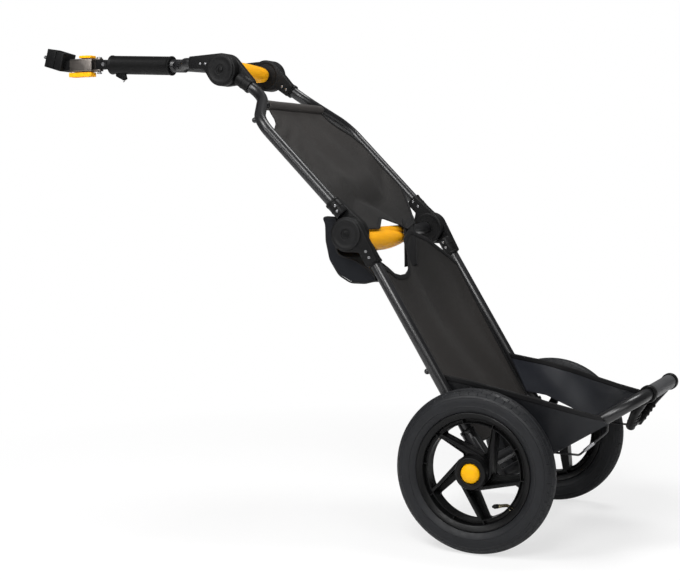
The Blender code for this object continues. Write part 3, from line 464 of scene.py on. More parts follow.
class Finish:
    """A material in the making, with short calls for its shader nodes."""

    def __init__(self, name, roughness, metallic=0.0, **sockets):
        self.made = bpy.data.materials.new(name)
        self.made.use_nodes = True
        self.tree = self.made.node_tree
        self.shader = self.tree.nodes["Principled BSDF"]
        self.shader.inputs["Roughness"].default_value = roughness
        self.shader.inputs["Metallic"].default_value = metallic
        for socket, value in sockets.items():
            self.shader.inputs[socket.replace("_", " ")].default_value = value
        self.normal = None

    def node(self, kind, **settings):
        made = self.tree.nodes.new("ShaderNode" + kind)
        for key, value in settings.items():
            setattr(made, key, value)
        return made

    def feed(self, socket, value):
        if isinstance(value, bpy.types.NodeSocket):
            self.tree.links.new(value, socket)
        else:
            socket.default_value = value

    def place(self, scale=(1.0, 1.0, 1.0), turn=(0.0, 0.0, 0.0), uv=False):
        """Coordinates in metres on the piece or on its cloth, scaled and turned."""
        source = self.node("TexCoord").outputs["UV" if uv else "Object"]
        mapping = self.node("Mapping")
        mapping.inputs["Scale"].default_value = scale
        mapping.inputs["Rotation"].default_value = turn
        self.feed(mapping.inputs["Vector"], source)
        return mapping.outputs["Vector"]

    def noise(self, where, scale, detail=3.0, roughness=0.55):
        made = self.node("TexNoise")
        self.feed(made.inputs["Vector"], where)
        made.inputs["Scale"].default_value = scale
        made.inputs["Detail"].default_value = detail
        made.inputs["Roughness"].default_value = roughness
        return made.outputs["Fac"]

    def cells(self, where, scale):
        made = self.node("TexVoronoi")
        self.feed(made.inputs["Vector"], where)
        made.inputs["Scale"].default_value = scale
        return made.outputs["Distance"]

    def spread(self, value, low, high, new_low=0.0, new_high=1.0):
        """Stretches a value from one range to another, and stops at its ends."""
        made = self.node("MapRange", clamp=True)
        for name, number in (("From Min", low), ("From Max", high), ("To Min", new_low),
                             ("To Max", new_high)):
            made.inputs[name].default_value = number
        self.feed(made.inputs["Value"], value)
        return made.outputs["Result"]

    def sum(self, operation, first, second=0.0):
        made = self.node("Math", operation=operation)
        self.feed(made.inputs[0], first)
        self.feed(made.inputs[1], second)
        return made.outputs["Value"]

    def blend(self, share, first, second):
        made = self.node("Mix", data_type="RGBA")
        self.feed(made.inputs[0], share)
        for socket, value in ((made.inputs[6], first), (made.inputs[7], second)):
            self.feed(socket, value if isinstance(value, bpy.types.NodeSocket) else (*value, 1.0))
        return made.outputs[2]

    def colour(self, value):
        self.feed(self.shader.inputs["Base Color"], value)

    def rough(self, value):
        self.feed(self.shader.inputs["Roughness"], value)

    def relief(self, height, depth, strength=1.0):
        """Adds a relief of a depth in metres on top of the ones before it."""
        made = self.node("Bump")
        made.inputs["Strength"].default_value = strength
        made.inputs["Distance"].default_value = depth
        self.feed(made.inputs["Height"], height)
        if self.normal is not None:
            self.feed(made.inputs["Normal"], self.normal)
        self.normal = made.outputs["Normal"]
        self.feed(self.shader.inputs["Normal"], self.normal)


def shade(colour, times):
    return tuple(min(1.0, channel * times) for channel in colour)


def colours():
    return bpy.context.scene.trailer_colours


def sizes():
    return bpy.context.scene.trailer_sizes


def ready(name, make):
    """A finish by its name, made the first time that it is asked for."""
    return bpy.data.materials.get(name + "_finish") or make(name + "_finish")


def satin_paint():
    """Black powder coat: a faint orange peel, and dust and rub marks on its gloss."""
    def make(name):
        f = Finish(name, 0.22, Specular_IOR_Level=0.5)
        where = f.place()
        cloud = f.noise(where, 9.0, 4.0)
        base = colours().paint
        f.colour(f.blend(f.spread(cloud, 0.35, 0.7), shade(base, 0.85), shade(base, 1.35)))
        rub = f.noise(f.place(scale=(1.0, 1.0, 6.0)), 60.0, 5.0, 0.65)
        f.rough(f.spread(rub, 0.3, 0.75, 0.29, 0.34))
        f.relief(f.noise(where, 40.0, 2.0), 0.00003, 0.1)
        return f.made
    return ready("satin_black_paint", make)


def moulded(name="grained_black_plastic", lift=1.0, low=0.36, high=0.54):
    """Moulded plastic with a fine spark grain and slightly polished spots."""
    def make(name):
        f = Finish(name, 0.45, Specular_IOR_Level=0.14)
        where = f.place()
        base = shade(colours().plastic, lift)
        cloud = f.noise(where, 26.0, 4.0)
        f.colour(f.blend(f.spread(cloud, 0.3, 0.75), shade(base, 0.8), shade(base, 1.3)))
        f.rough(f.spread(f.noise(where, 75.0, 5.0, 0.6), 0.3, 0.7, low, high))
        f.relief(f.cells(where, 1900.0), 0.00005, 0.55)
        f.relief(f.noise(where, 180.0, 2.0), 0.00008, 0.25)
        return f.made
    return ready(name, make)


def yellow_plastic(name, base):
    """Yellow moulded plastic with a fine grain and a few dull rubbed places."""
    def make(name):
        f = Finish(name, 0.4, Specular_IOR_Level=0.14, Subsurface_Weight=0.04,
                   Subsurface_Scale=0.002)
        where = f.place()
        cloud = f.noise(where, 40.0, 4.0)
        f.colour(f.blend(f.spread(cloud, 0.3, 0.75), shade(base, 0.93), shade(base, 1.03)))
        f.rough(f.spread(f.noise(where, 130.0, 5.0, 0.6), 0.3, 0.7, 0.34, 0.50))
        f.relief(f.cells(where, 1500.0), 0.00005, 0.5)
        return f.made
    return ready(name, make)


def grip_yellow():
    return yellow_plastic("grip_yellow", colours().yellow)


def tyre_rubber():
    """Tyre rubber: dull, with pale dust in the hollows and fine radial mould marks."""
    def make(name):
        f = Finish(name, 0.62, Specular_IOR_Level=0.26)
        where = f.place()
        base = colours().tyre
        dust = f.spread(f.noise(where, 55.0, 6.0, 0.65), 0.45, 0.8)
        f.colour(f.blend(dust, base, shade(base, 1.5)))
        f.rough(f.spread(f.noise(where, 110.0, 5.0, 0.6), 0.3, 0.7, 0.42, 0.62))
        f.relief(f.noise(where, 900.0, 2.0), 0.00010, 0.6)
        f.relief(f.noise(where, 240.0, 3.0), 0.00015, 0.25)
        return f.made
    return ready("tyre_rubber", make)


def soft_rubber():
    """Dull black rubber with a fine skin."""
    def make(name):
        f = Finish(name, 0.68, Specular_IOR_Level=0.4)
        where = f.place()
        cloud = f.noise(where, 60.0, 4.0)
        f.colour(f.blend(cloud, (0.012, 0.012, 0.012), (0.026, 0.026, 0.027)))
        f.relief(f.noise(where, 700.0, 2.0), 0.00010, 0.5)
        return f.made
    return ready("soft_black_rubber", make)


def metal(name, base, roughness, along=(1.0, 1.0, 1.0)):
    """Bare metal with fine brush lines along one direction."""
    def make(name):
        f = Finish(name, roughness, 1.0)
        lines = f.noise(f.place(scale=along), 420.0, 4.0, 0.6)
        stain = f.noise(f.place(), 45.0, 4.0)
        f.colour(f.blend(f.spread(stain, 0.3, 0.75), shade(base, 0.82), base))
        f.rough(f.spread(lines, 0.3, 0.7, roughness * 0.75, roughness * 1.3))
        f.relief(lines, 0.00003, 0.6)
        return f.made
    return ready(name, make)


def steel():
    return metal("zinc_plated_steel", (0.34, 0.34, 0.35), 0.32)


def aluminium():
    return metal("bare_aluminium", (0.20, 0.180, 0.165), 0.40, (0.08, 1.0, 1.0))


def brass():
    return metal("valve_brass", (0.70, 0.60, 0.38), 0.30)


def weave(f, pitch, depth):
    """A plain weave on the cloth's own measured coordinates."""
    parts = f.node("SeparateXYZ")
    f.feed(parts.inputs["Vector"], f.place(scale=(1.0 / pitch, 1.0 / pitch, 1.0), uv=True))
    threads = []
    for axis in ("X", "Y"):
        wave = f.sum("SINE", f.sum("MULTIPLY", parts.outputs[axis], math.pi))
        threads.append(f.sum("ABSOLUTE", wave))
    over = f.node("TexChecker")
    over.inputs["Scale"].default_value = 1.0
    over.inputs["Color1"].default_value = WHITE
    over.inputs["Color2"].default_value = (0.0, 0.0, 0.0, 1.0)
    f.feed(over.inputs["Vector"], f.place(scale=(1.0 / pitch, 1.0 / pitch, 1.0), uv=True))
    upper = f.sum("MULTIPLY", threads[0], over.outputs["Fac"])
    under = f.sum("MULTIPLY", threads[1], f.sum("SUBTRACT", 1.0, over.outputs["Fac"]))
    cloth = f.sum("ADD", upper, under)
    f.relief(cloth, depth, 0.7)
    return cloth


def fabric(name, base, roughness=0.62, gloss=0.12, sheen=0.03, painted_shade_bands=((0.0, 1.0, 0.5, 0.5),)):
    """Woven nylon: weave, slubs, soft creases, random tone, and bands of painted light and shade
    along the trailer.
    """
    def make(name):
        f = Finish(name, roughness, Specular_IOR_Level=gloss, Sheen_Weight=sheen,
                   Sheen_Roughness=0.45)
        where = f.place()
        thread = weave(f, 0.0007, 0.00012)
        slub = f.noise(f.place(scale=(60.0, 900.0, 1.0), uv=True), 1.0, 3.0)
        cloud = f.noise(where, 7.0, 4.0, 0.6)
        parts = f.node("SeparateXYZ")
        f.feed(parts.inputs["Vector"], where)
        painted_shade_and_tone = None
        # Painted light and shade in bands along X, with a random tone from the cloud on top
        for band in painted_shade_bands:
            share = f.spread(parts.outputs["X"], *band)
            painted_shade_and_tone = share if painted_shade_and_tone is None else f.sum("MAXIMUM", painted_shade_and_tone, share)
        painted_shade_and_tone = f.sum("ADD", painted_shade_and_tone, f.spread(cloud, 0.3, 0.75, -0.12, 0.12))
        plain = f.blend(painted_shade_and_tone, shade(base, 0.22), shade(base, 2.0))
        f.colour(f.blend(f.sum("MULTIPLY", f.spread(thread, 0.1, 1.0, 0.0, 0.5), slub), plain,
                         shade(base, 1.5)))
        f.rough(f.spread(f.noise(where, 16.0, 4.0), 0.3, 0.7, roughness - 0.06, roughness + 0.06))
        f.relief(f.noise(where, 26.0, 3.0, 0.5), 0.0006, 0.35)
        return f.made
    return ready(name, make)


def webbing(name="black_webbing", base=(0.0055, 0.0055, 0.0060), stitches=(0.0030,)):
    """Hem tape: ribs across the tape, and rows of stitches at set distances from its edge."""
    def make(name):
        f = Finish(name, 0.62, Specular_IOR_Level=0.12, Sheen_Weight=0.02)
        parts = f.node("SeparateXYZ")
        f.feed(parts.inputs["Vector"], f.place(uv=True))
        ribs = f.sum("ABSOLUTE", f.sum("SINE", f.sum("MULTIPLY", parts.outputs["X"], 2600.0)))
        f.relief(ribs, 0.00012, 0.6)
        thread = None
        for row in stitches:
            off = f.sum("ABSOLUTE", f.sum("SUBTRACT", parts.outputs["Y"], row))
            line = f.spread(off, 0.00025, 0.00055, 1.0, 0.0)
            dash = f.sum("FRACT", f.sum("MULTIPLY", parts.outputs["X"], 1 / 0.0042))
            dashed = f.sum("MULTIPLY", line, f.spread(dash, 0.68, 0.80, 1.0, 0.0))
            thread = dashed if thread is None else f.sum("MAXIMUM", thread, dashed)
        cloud = f.noise(f.place(), 30.0, 4.0)
        plain = f.blend(cloud, shade(base, 0.75), shade(base, 1.4))
        f.colour(f.blend(thread, plain, (0.024, 0.023, 0.022)))
        f.relief(thread, 0.0003, 0.8)
        return f.made
    return ready(name, make)


def raise_blocks(form, groups, inset, lift):
    """Raises each group of faces a little, with a narrow slope round it."""
    for group in groups:
        bmesh.ops.inset_region(form, faces=group, thickness=inset, depth=lift,
                               use_even_offset=True, use_boundary=True)


def tyre_form():
    """The tyre's round section with two mould rings on each side, and its tread blocks."""
    section = sizes().tyre_section
    tread = sizes().tread_depth
    outer = []
    for angle in (0, 7, 17, 27, 36, 46, 56, 62, 66, 68, 70, 74, 84, 92, 100, 104, 106, 108, 114,
                  122, 130):
        lift = 0.0006 if angle in (68, 106) else 0.0
        outer.append(Vector((TYRE_CENTRE, 0.0)) + polar(section + lift, angle))
    upper = [(p.x, p.y) for p in outer] + [(0.1083, 0.0150), (0.1070, 0.0140), (0.1012, 0.0135),
                                           (0.1012, 0.0090), (0.1100, 0.0080)]
    lower = [(r, -h) for r, h in reversed(upper[1:])]
    form = turned(upper + lower, steps=TREAD_STEPS, closed=True)
    rows = {}
    for face in form.faces:
        middle = face.calc_center_median()
        off = math.degrees(math.atan2(middle.z, math.hypot(middle.x, middle.y) - TYRE_CENTRE))
        column = int(math.degrees(math.atan2(middle.y, middle.x)) % 360 / 360 * TREAD_STEPS)
        for number, (low, high, shift) in enumerate(((0, 17, 0), (-17, 0, 1), (17, 36, 2),
                                                     (-36, -17, 0), (36, 56, 1), (-56, -36, 2))):
            if low < off < high:
                block_at = (number, (column + shift) % TREAD_STEPS // 3)
                rows.setdefault(block_at, []).append(face)
    if tread > 0:
        raise_blocks(form, rows.values(), tread * 1.1, tread)
    return form


def rim_form():
    """The rim: an outer flange, a deep channel and a thin ring that carries the spokes."""
    outer = [(0.0875, 0.0099), (0.0879, 0.0105), (0.0889, 0.0105), (0.0893, 0.0099),
             (0.0895, 0.0035), (0.0904, 0.0025), (0.0950, 0.0025), (0.0958, 0.0034),
             (0.0961, 0.0110), (0.0967, 0.0124), (0.0978, 0.0134), (0.1052, 0.0172),
             (0.1066, 0.0176), (0.1078, 0.0170), (0.1084, 0.0156), (0.1084, 0.0148),
             (0.1000, 0.0146), (0.0971, 0.0110)]
    inner = [(r, -h) for r, h in reversed(outer[4:])] + [(0.0893, -0.0174), (0.0889, -0.0180),
                                                         (0.0879, -0.0180), (0.0875, -0.0174)]
    return turned(outer + inner, steps=144, closed=True)


def hub_form():
    """The hub's drum, with a bevelled face and the well that the button sits in."""
    profile = [(0.0186, 0.0165), (0.0186, 0.0262), (0.0190, 0.0270), (0.0198, 0.0276),
               (0.0208, 0.0272), (0.0214, 0.0272), (0.0226, 0.0284), (0.0262, 0.0286),
               (0.0284, 0.0276), (0.0297, 0.0254), (0.0303, 0.0225), (0.0305, 0.0125),
               (0.0305, -0.0125), (0.0296, -0.0150), (0.0250, -0.0185), (0.0145, -0.0187),
               (0.0138, -0.0182), (0.0138, -0.0105), (0.0092, -0.0105), (0.0092, 0.0085),
               (0.0138, 0.0085), (0.0138, 0.0165)]
    return turned(profile, steps=96, closed=True)


def window_outline(rib):
    """One opening between two spokes: a rim arc and a corner by the hub."""
    rim = arc((0.0, 0.0), RIM_INSIDE, rib + 3.9, rib + 66.6, 12)
    by_hub = polar(0.0348, rib - 7.8)
    corners = [(*rim[0], 0.0055)] + [(*p, 0.0) for p in rim[1:-1]] + [(*rim[-1], 0.0065)]
    return fillet(corners + [(*by_hub, 0.0045)], 0.005, 5)


def offset_outline(outline, distance):
    """Moves a closed outline outwards by a distance at each point."""
    count = len(outline)
    area = sum(outline[i - 1].x * here.y - here.x * outline[i - 1].y
               for i, here in enumerate(outline))
    sign = 1 if area > 0 else -1
    moved = []
    for i, here in enumerate(outline):
        a = (here - outline[i - 1]).normalized()
        b = (outline[(i + 1) % count] - here).normalized()
        normal = Vector((a.y + b.y, -a.x - b.x)).normalized()
        stretch = max(0.5, normal.dot(Vector((a.y, -a.x))))
        moved.append(here + normal * sign * distance / stretch)
    return moved


def ring_wall(inner, outer, low, high):
    """A wall of even width round an opening, with softened edges."""
    form = bmesh.new()
    loops = []
    for outline in (inner, outer):
        verts = [form.verts.new((p.x, p.y, low)) for p in outline]
        loops.append([form.edges.new((a, b)) for a, b in zip(verts, verts[1:] + verts[:1])])
    faces = bmesh.ops.bridge_loops(form, edges=loops[0] + loops[1])["faces"]
    made = bmesh.ops.extrude_face_region(form, geom=faces)["geom"]
    verts = [g for g in made if isinstance(g, bmesh.types.BMVert)]
    bmesh.ops.translate(form, vec=(0, 0, high - low), verts=verts)
    bmesh.ops.recalc_face_normals(form, faces=form.faces[:])
    soft_edges(form, 0.0005, 2, 50.0)
    return form


def web_form(windows):
    """The flat web between the hub and the rim, with the openings left out."""
    form = bmesh.new()
    edges = []
    rings = [circle(0.0290, 60), circle(0.0895, 90)]
    for outline in rings + windows:
        verts = [form.verts.new((p.x, p.y, WEB_BACK)) for p in outline]
        edges += [form.edges.new((a, b)) for a, b in zip(verts, verts[1:] + verts[:1])]
    bmesh.ops.triangle_fill(form, edges=edges, use_beauty=True, normal=(0, 0, 1))
    made = bmesh.ops.extrude_face_region(form, geom=form.faces[:])["geom"]
    verts = [g for g in made if isinstance(g, bmesh.types.BMVert)]
    bmesh.ops.translate(form, vec=(0, 0, WEB_THICKNESS), verts=verts)
    bmesh.ops.recalc_face_normals(form, faces=form.faces[:])
    return form


def spoked_form():
    """The moulded wheel: rim, hub, back web, a low rim round each opening and deep ribs."""
    ribs = [FIRST_RIB + 360.0 * i / SPOKES for i in range(SPOKES)]
    windows = [window_outline(rib) for rib in ribs]
    forms = [rim_form(), hub_form(), web_form([offset_outline(w, 0.0008) for w in windows])]
    for window in windows:
        forms.append(ring_wall(window, offset_outline(window, 0.0020), -0.0180, -0.0085))
    for rib in ribs:
        out = polar(1.0, rib - 0.2)
        run = Vector((-out.y, out.x))
        flat = [(-0.0120, 0.0270), (0.0835, 0.0290), (0.0815, 0.0343), (0.0030, 0.0343),
                (-0.0060, 0.0322)]
        bar = [run * x + out * y for x, y in flat]
        forms.append(plate(bar, -0.0178, 0.0103, soften=0.0008))
        for turn in (rib, rib + 36.0):
            out = polar(1.0, turn)
            wide = Vector((-out.y, out.x)) * 0.0008
            for low, high in ((0.0015, 0.0112), (-0.0152, -0.0015)):
                web = [out * 0.0885 - wide, out * 0.0966 - wide, out * 0.0966 + wide,
                       out * 0.0885 + wide]
                forms.append(plate(web, low, high, soften=0.0003))
    return join(*forms)


def valve_way():
    out = polar(1.0, VALVE_ANGLE).to_3d()
    return [out * 0.1160, out * 0.0840, Vector(VALVE_END)]


def make_wheels():
    for name, side in SIDES:
        place = facing(AXLE, side * WHEEL_Y, side)
        body = "wheel_" + name
        tyre = tyre_form()
        tyre.transform(place)
        keep(tyre, body + "_tyre", tyre_rubber(), body, "tyre_" + name, 30.0)
        spoked = spoked_form()
        spoked.transform(place)
        keep(spoked, body + "_moulding", moulded("wheel_plastic", 0.9, 0.26, 0.42), body,
             "spoked_wheel_" + name, 32.0)
        tube = carried(circle(0.0150, 20), ring_places(TYRE_CENTRE, 72), cap=False)
        bmesh.ops.remove_doubles(tube, verts=tube.verts[:], dist=0.00001)
        tube.transform(place)
        keep(tube, body + "_inner_tube", soft_rubber(), body, "inner_tube_" + name)
        path = bent_path(valve_way(), 0.008, 8)
        tip = (path[-1] - path[-2]).normalized()
        run = path[1] - path[0]
        stem = join(pipe(path[:-1] + [path[-1] - tip * 0.004], 0.0030, 24),
                    rod(path[0] + run * 0.80, path[0] + run * 0.98, 0.0048, 0.0006, 6),
                    rod(path[-1] - tip * 0.0150, path[-1] - tip * 0.0110, 0.0037, 0.0005, 24))
        stem.transform(place)
        keep(stem, body + "_valve_stem", brass(), body)
        profile = [(0.0, 0.0), (0.0036, 0.0), (0.0041, 0.0006), (0.0041, 0.0074), (0.0034, 0.0086),
                   (0.0026, 0.0100), (0.0021, 0.0116), (0.0, 0.0120)]
        cap = turned(profile, between(path[-1] - tip * 0.0110, path[-1]), 18)
        cap.transform(place)
        keep(cap, body + "_valve_cap", moulded(), body, smooth=20.0)
        profile = [(0.0, 0.0342), (0.0040, 0.0339), (0.0080, 0.0331), (0.0115, 0.0317),
                   (0.0145, 0.0298), (0.0165, 0.0279), (0.0175, 0.0262), (0.0177, 0.0248),
                   (0.0177, 0.0180), (0.0040, 0.0178), (0.0040, 0.0120), (0.0, 0.0120)]
        button = turned(profile, place, 72)
        finish = yellow_plastic("wheel_button_yellow", colours().button)
        keep(button, "button_dome_" + name, finish, "button_" + name, "release_button_" + name)


def ring_places(radius, steps):
    """Places round a circle, with the last one back on the first."""
    places = []
    for i in range(steps + 1):
        turn = Matrix.Rotation(math.tau * i / steps, 4, "Z")
        places.append(turn @ Matrix.Translation((radius, 0.0, 0.0))
                      @ Matrix.Rotation(-math.pi / 2, 4, "X"))
    return places


def front_normal(slope):
    turn = math.radians(slope)
    return Vector((math.sin(turn), 0.0, -math.cos(turn)))


def stud_form(foot, slope, reach):
    """A small round-headed stud for a strap, on the front of a tube."""
    away = front_normal(slope)
    profile = [(0.0, -0.0060), (0.0040, -0.0060), (0.0038, reach - 0.0060),
               (0.0034, reach - 0.0046)]
    profile += [(0.0056 * math.sin(math.radians(t)), reach - 0.0056 * math.cos(math.radians(t)))
                for t in range(40, 181, 10)]
    return turned(profile, between(foot, foot + away), 28)


def make_lower_frame():
    radius = sizes().frame_tube
    for name, side in SIDES:
        y = side * FRAME_Y
        tube = rod(at(lower_point(TUBE_START), y), at(lower_point(0.4800), y), radius, 0.0008,
                   48)
        stud = stud_form(at(lower_point(0.2955, -radius), y), LOWER_SLOPE, 0.0020)
        keep(join(tube, stud), "lower_leg_" + name, satin_paint(), "lower_frame",
             "lower_tube_" + name)
        keep(dropout_form(side), "axle_bracket_" + name, satin_paint(), "lower_frame",
             "dropout_" + name)
        profile = [(0.0, 0.2188), (0.0030, 0.2187), (0.0032, 0.2170), (0.0055, 0.2172),
                   (0.0080, 0.2180), (0.0086, 0.2168), (0.0086, 0.2149), (0.0050, 0.2148),
                   (0.0050, 0.1570), (0.0, 0.1570)]
        keep(turned(profile, facing(TRAY_PIVOT, 0.0, side), 40),
             "tray_pivot_bolt_" + name, steel(), "lower_frame", "tray_pin_" + name)
        for part in ("stub_axle_", "bearings_"):
            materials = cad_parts[part + name].data.materials
            materials.clear()
            materials.append(steel())
    middle = side_point(AXLE, LOWER_SLOPE, 0.0, -0.010)
    beam = [rod(at(middle, -BEAM_END), at(middle, BEAM_END), BEAM_TUBE, 0.0008, 48)]
    for name, side in SIDES:
        way = between(at(middle, side * BEAM_END), at(middle, 0.0))
        beam.append(turned(weld_profile(BEAM_TUBE), way, 40))
    keep(join(*beam), "axle_crossbar", satin_paint(), "lower_frame", "axle_beam")


def weld_profile(radius):
    """A low bead of weld round a tube's end."""
    return [(radius - 0.001, 0.0), (radius + 0.0016, 0.0), (radius + 0.0018, 0.0012),
            (radius + 0.0010, 0.0026), (radius - 0.001, 0.0034), (radius - 0.001, 0.0)]


def dropout_form(side):
    """The forged bracket of tube socket, axle boss and tray ear."""
    boss = arc(AXLE, 0.0175, 150, 290, 14)
    ear = arc(TRAY_PIVOT, 0.0135, -75, 45, 10)
    neck = [lower_point(0.440, 0.0125), lower_point(0.440, -0.0125)]
    low, high = sorted((side * 0.1905, side * 0.2145))
    body = plate(boss + ear + neck, -high, -low, side_view(0.0), 0.0022, 3)
    socket = rod(at(lower_point(0.4250), side * FRAME_Y), at(lower_point(0.4950), side * FRAME_Y),
                 SOCKET, 0.0020, 48)
    ring = rod(at(lower_point(0.4240), side * FRAME_Y), at(lower_point(0.4300), side * FRAME_Y),
               SOCKET + 0.0009, 0.0008, 48)
    profile = [(0.0, 0.0), (0.0150, 0.0), (0.0150, 0.0225), (0.0142, 0.0250), (0.0125, 0.0262),
               (0.0085, 0.0266), (0.0, 0.0266)]
    axle = turned(profile, between(at(AXLE, side * 0.1915), at(AXLE, side * 0.25)), 48)
    return join(body, socket, ring, axle)


def upper_tube_path(side):
    """Narrow at the top joint, then out and down to the full width of the frame."""
    top = side_point(TOP_PIVOT, NECK_SLOPE, TUBE_START, NECK_OFFSET)
    elbow = side_point(TOP_PIVOT, NECK_SLOPE, 0.1045, NECK_OFFSET)
    corners = [at(top, side * TOP_Y), at(elbow, side * TOP_Y),
               at(upper_point(0.2895), side * FRAME_Y),
               at(upper_point(TUBE_START), side * FRAME_Y)]
    return bent_path(corners, 0.061, 16)


def make_upper_frame():
    for name, side in SIDES:
        tube = pipe(upper_tube_path(side), sizes().upper_tube, 48)
        stud = stud_form(Vector((-0.4795, side * 0.173, 0.7922)), UPPER_SLOPE, 0.0060)
        keep(join(tube, stud), "upper_leg_" + name, satin_paint(), "upper_frame",
             "upper_tube_" + name)
    rail = rod(at(TOP_RAIL, -0.1280), at(TOP_RAIL, 0.1280), BAR_TUBE, 0.0008, 36)
    keep(rail, "panel_rail", satin_paint(), "upper_frame", "upper_rail")


def joint_outline(offset, reach, half_width):
    """A disc with an arm: one edge leaves it at a tangent, the other at a short neck."""
    middle = abs(offset)
    outer = Vector((reach, middle + half_width))
    neck = Vector((0.041, middle - half_width))
    far = math.degrees(math.atan2(outer.y, outer.x) + math.acos(DISC / outer.length))
    near = math.degrees(math.atan2(neck.y, neck.x) - math.acos(DISC / neck.length))
    outline = arc((0.0, 0.0), DISC, far, near + 360, 40)
    outline += [neck, Vector((reach, middle - half_width)), outer]
    lean = 1 if offset > 0 else -1
    return [Vector((p.x, lean * p.y)) for p in outline]


def joint_form(pivot, slope, offset, reach, plate_y, socket_y):
    """One moulded half of a folding joint: disc, arm, tube socket, lug and ribs."""
    low, high = sorted(plate_y)
    outline = [side_point(pivot, slope, p.x, p.y)
               for p in joint_outline(offset, reach - 0.002, 0.0125)]
    body = plate(outline, -high, -low, side_view(0.0), 0.0020, 3)
    start = at(side_point(pivot, slope, 0.0360, offset), socket_y)
    end = at(side_point(pivot, slope, reach, offset), socket_y)
    forms = [body, rod(start, end, SOCKET, 0.0022, 48)]
    lip = at(side_point(pivot, slope, reach - 0.0050, offset), socket_y)
    forms.append(rod(lip, end, SOCKET + 0.0007, 0.0006, 48))
    rib = at(side_point(pivot, slope, 0.0500, offset), socket_y)
    rib_end = at(side_point(pivot, slope, 0.0530, offset), socket_y)
    forms.append(rod(rib, rib_end, SOCKET + 0.0006, 0.0006, 48))
    for face, away in ((low, -1), (high, 1)):
        profile = [(DISC - 0.0080, -0.002), (DISC - 0.0080, 0.0004), (DISC - 0.0074, 0.0008),
                   (DISC - 0.0024, 0.0008), (DISC - 0.0016, 0.0002), (DISC - 0.0014, -0.002)]
        forms.append(turned(profile, facing(pivot, face - away * 0.0003, away), 72))
    return join(*forms)


def cap_form(place):
    """A dished cap with a stepped well and a socket-head bolt in its middle."""
    profile = [(0.0, 0.0004), (0.0094, 0.0004), (0.0098, 0.0008), (0.0104, 0.0021),
               (0.0112, 0.0025), (0.0120, 0.0025), (0.0150, 0.0019), (0.0190, 0.0018),
               (0.0226, 0.0024), (0.0240, 0.0034), (0.0250, 0.0037), (0.0278, 0.0036),
               (0.0290, 0.0029), (0.0296, 0.0015), (0.0296, 0.0), (0.0, 0.0)]
    return turned(profile, place, 96)


def bolt_form(place, radius=0.0045, height=0.0028):
    """A round bolt head with a hexagon socket."""
    form = bmesh.new()
    bmesh.ops.create_circle(form, cap_ends=True, segments=36, radius=radius)
    face = form.faces[:]
    made = bmesh.ops.extrude_face_region(form, geom=face)["geom"]
    verts = [g for g in made if isinstance(g, bmesh.types.BMVert)]
    bmesh.ops.translate(form, vec=(0, 0, height), verts=verts)
    bmesh.ops.recalc_face_normals(form, faces=form.faces[:])
    soft_edges(form, radius * 0.16, 2)
    socket = turned([(0.0, height - 0.0004), (radius * 0.50, height - 0.0004),
                     (radius * 0.50, height + 0.0001), (radius * 0.58, height + 0.0001),
                     (radius * 0.58, height - 0.001), (0.0, height - 0.001)],
                    None, 6)
    whole = join(form, socket)
    whole.transform(place)
    return whole


def joint_caps(label, pivot, middle_y, body):
    face = middle_y + JOINT_HALF + 0.0003
    for name, side in SIDES:
        place = facing(pivot, side * face, side)
        keep(cap_form(place), label + "_hinge_cover_" + name,
             moulded("cap_plastic", 1.5, 0.44, 0.60), body, label + "_joint_cap_" + name,
             30.0)
        bolt = bolt_form(place @ Matrix.Translation((0.0, 0.0, 0.0003)), 0.0062, 0.0012)
        keep(bolt, label + "_hinge_bolt_" + name, moulded("bolt_black", 0.8, 0.25, 0.4), body)


def make_joints():
    joints = (
        ("mid", MID_PIVOT, FRAME_Y, (
            ("lower", "lower_frame", LOWER_SLOPE, LOWER_OFFSET, 0.074, True),
            ("upper", "upper_frame", UPPER_SLOPE + 180, -UPPER_OFFSET, 0.070, False))),
        ("top", TOP_PIVOT, TOP_Y, (
            ("lower", "upper_frame", NECK_SLOPE, NECK_OFFSET, 0.070, False),
            ("upper", "tow_bar", TOW_SLOPE, -TOW_OFFSET, 0.078, True))))
    for name, side in SIDES:
        for label, pivot, middle_y, halves in joints:
            outer = (side * (middle_y + 0.0003), side * (middle_y + JOINT_HALF))
            inner = (side * (middle_y - JOINT_HALF), side * middle_y)
            for half, body, slope, offset, reach, outside in halves:
                form = joint_form(pivot, slope, offset, reach, outer if outside else inner,
                                  side * middle_y)
                keep(form, label + "_hinge_" + half + "_" + name, moulded(), body,
                     label + "_joint_" + half + "_" + name)
    joint_caps("mid", MID_PIVOT, FRAME_Y, "lower_frame")
    joint_caps("top", TOP_PIVOT, TOP_Y, "tow_bar")


def grip_form(pivot, hang, y_big, y_small, big, small, waves, full):
    """A tapered grip, full up to a share of its length; its big end has a scalloped rim."""
    length = y_small - y_big
    profile = [(0.0, length), (small - 0.0060, length - 0.0002), (small - 0.0028, length - 0.0016),
               (small - 0.0008, length - 0.0046)]
    for step in range(1, 9):
        share = 1 - step / 9
        bulge = small + (big - small) * math.sin(math.pi / 2 * (1 - share)) ** 0.9
        profile.append((bulge, length * (full + (0.97 - full) * share)))
    profile += [(big, 0.0060), (big - 0.0005, 0.0026), (big - 0.0022, 0.0006), (big - 0.0045, 0.0),
                (big - 0.0062, 0.0012), (big - 0.0068, 0.0030), (0.0, 0.0030)]
    form = turned(profile, None, 84)
    for vert in form.verts:
        if vert.co.z < 0.022:
            turn = math.atan2(vert.co.y, vert.co.x)
            vert.co.z += waves * math.sin(3 * turn + 0.6) * (1 - vert.co.z / 0.022)
    form.transform(facing(pivot + Vector(hang), y_big))
    return form


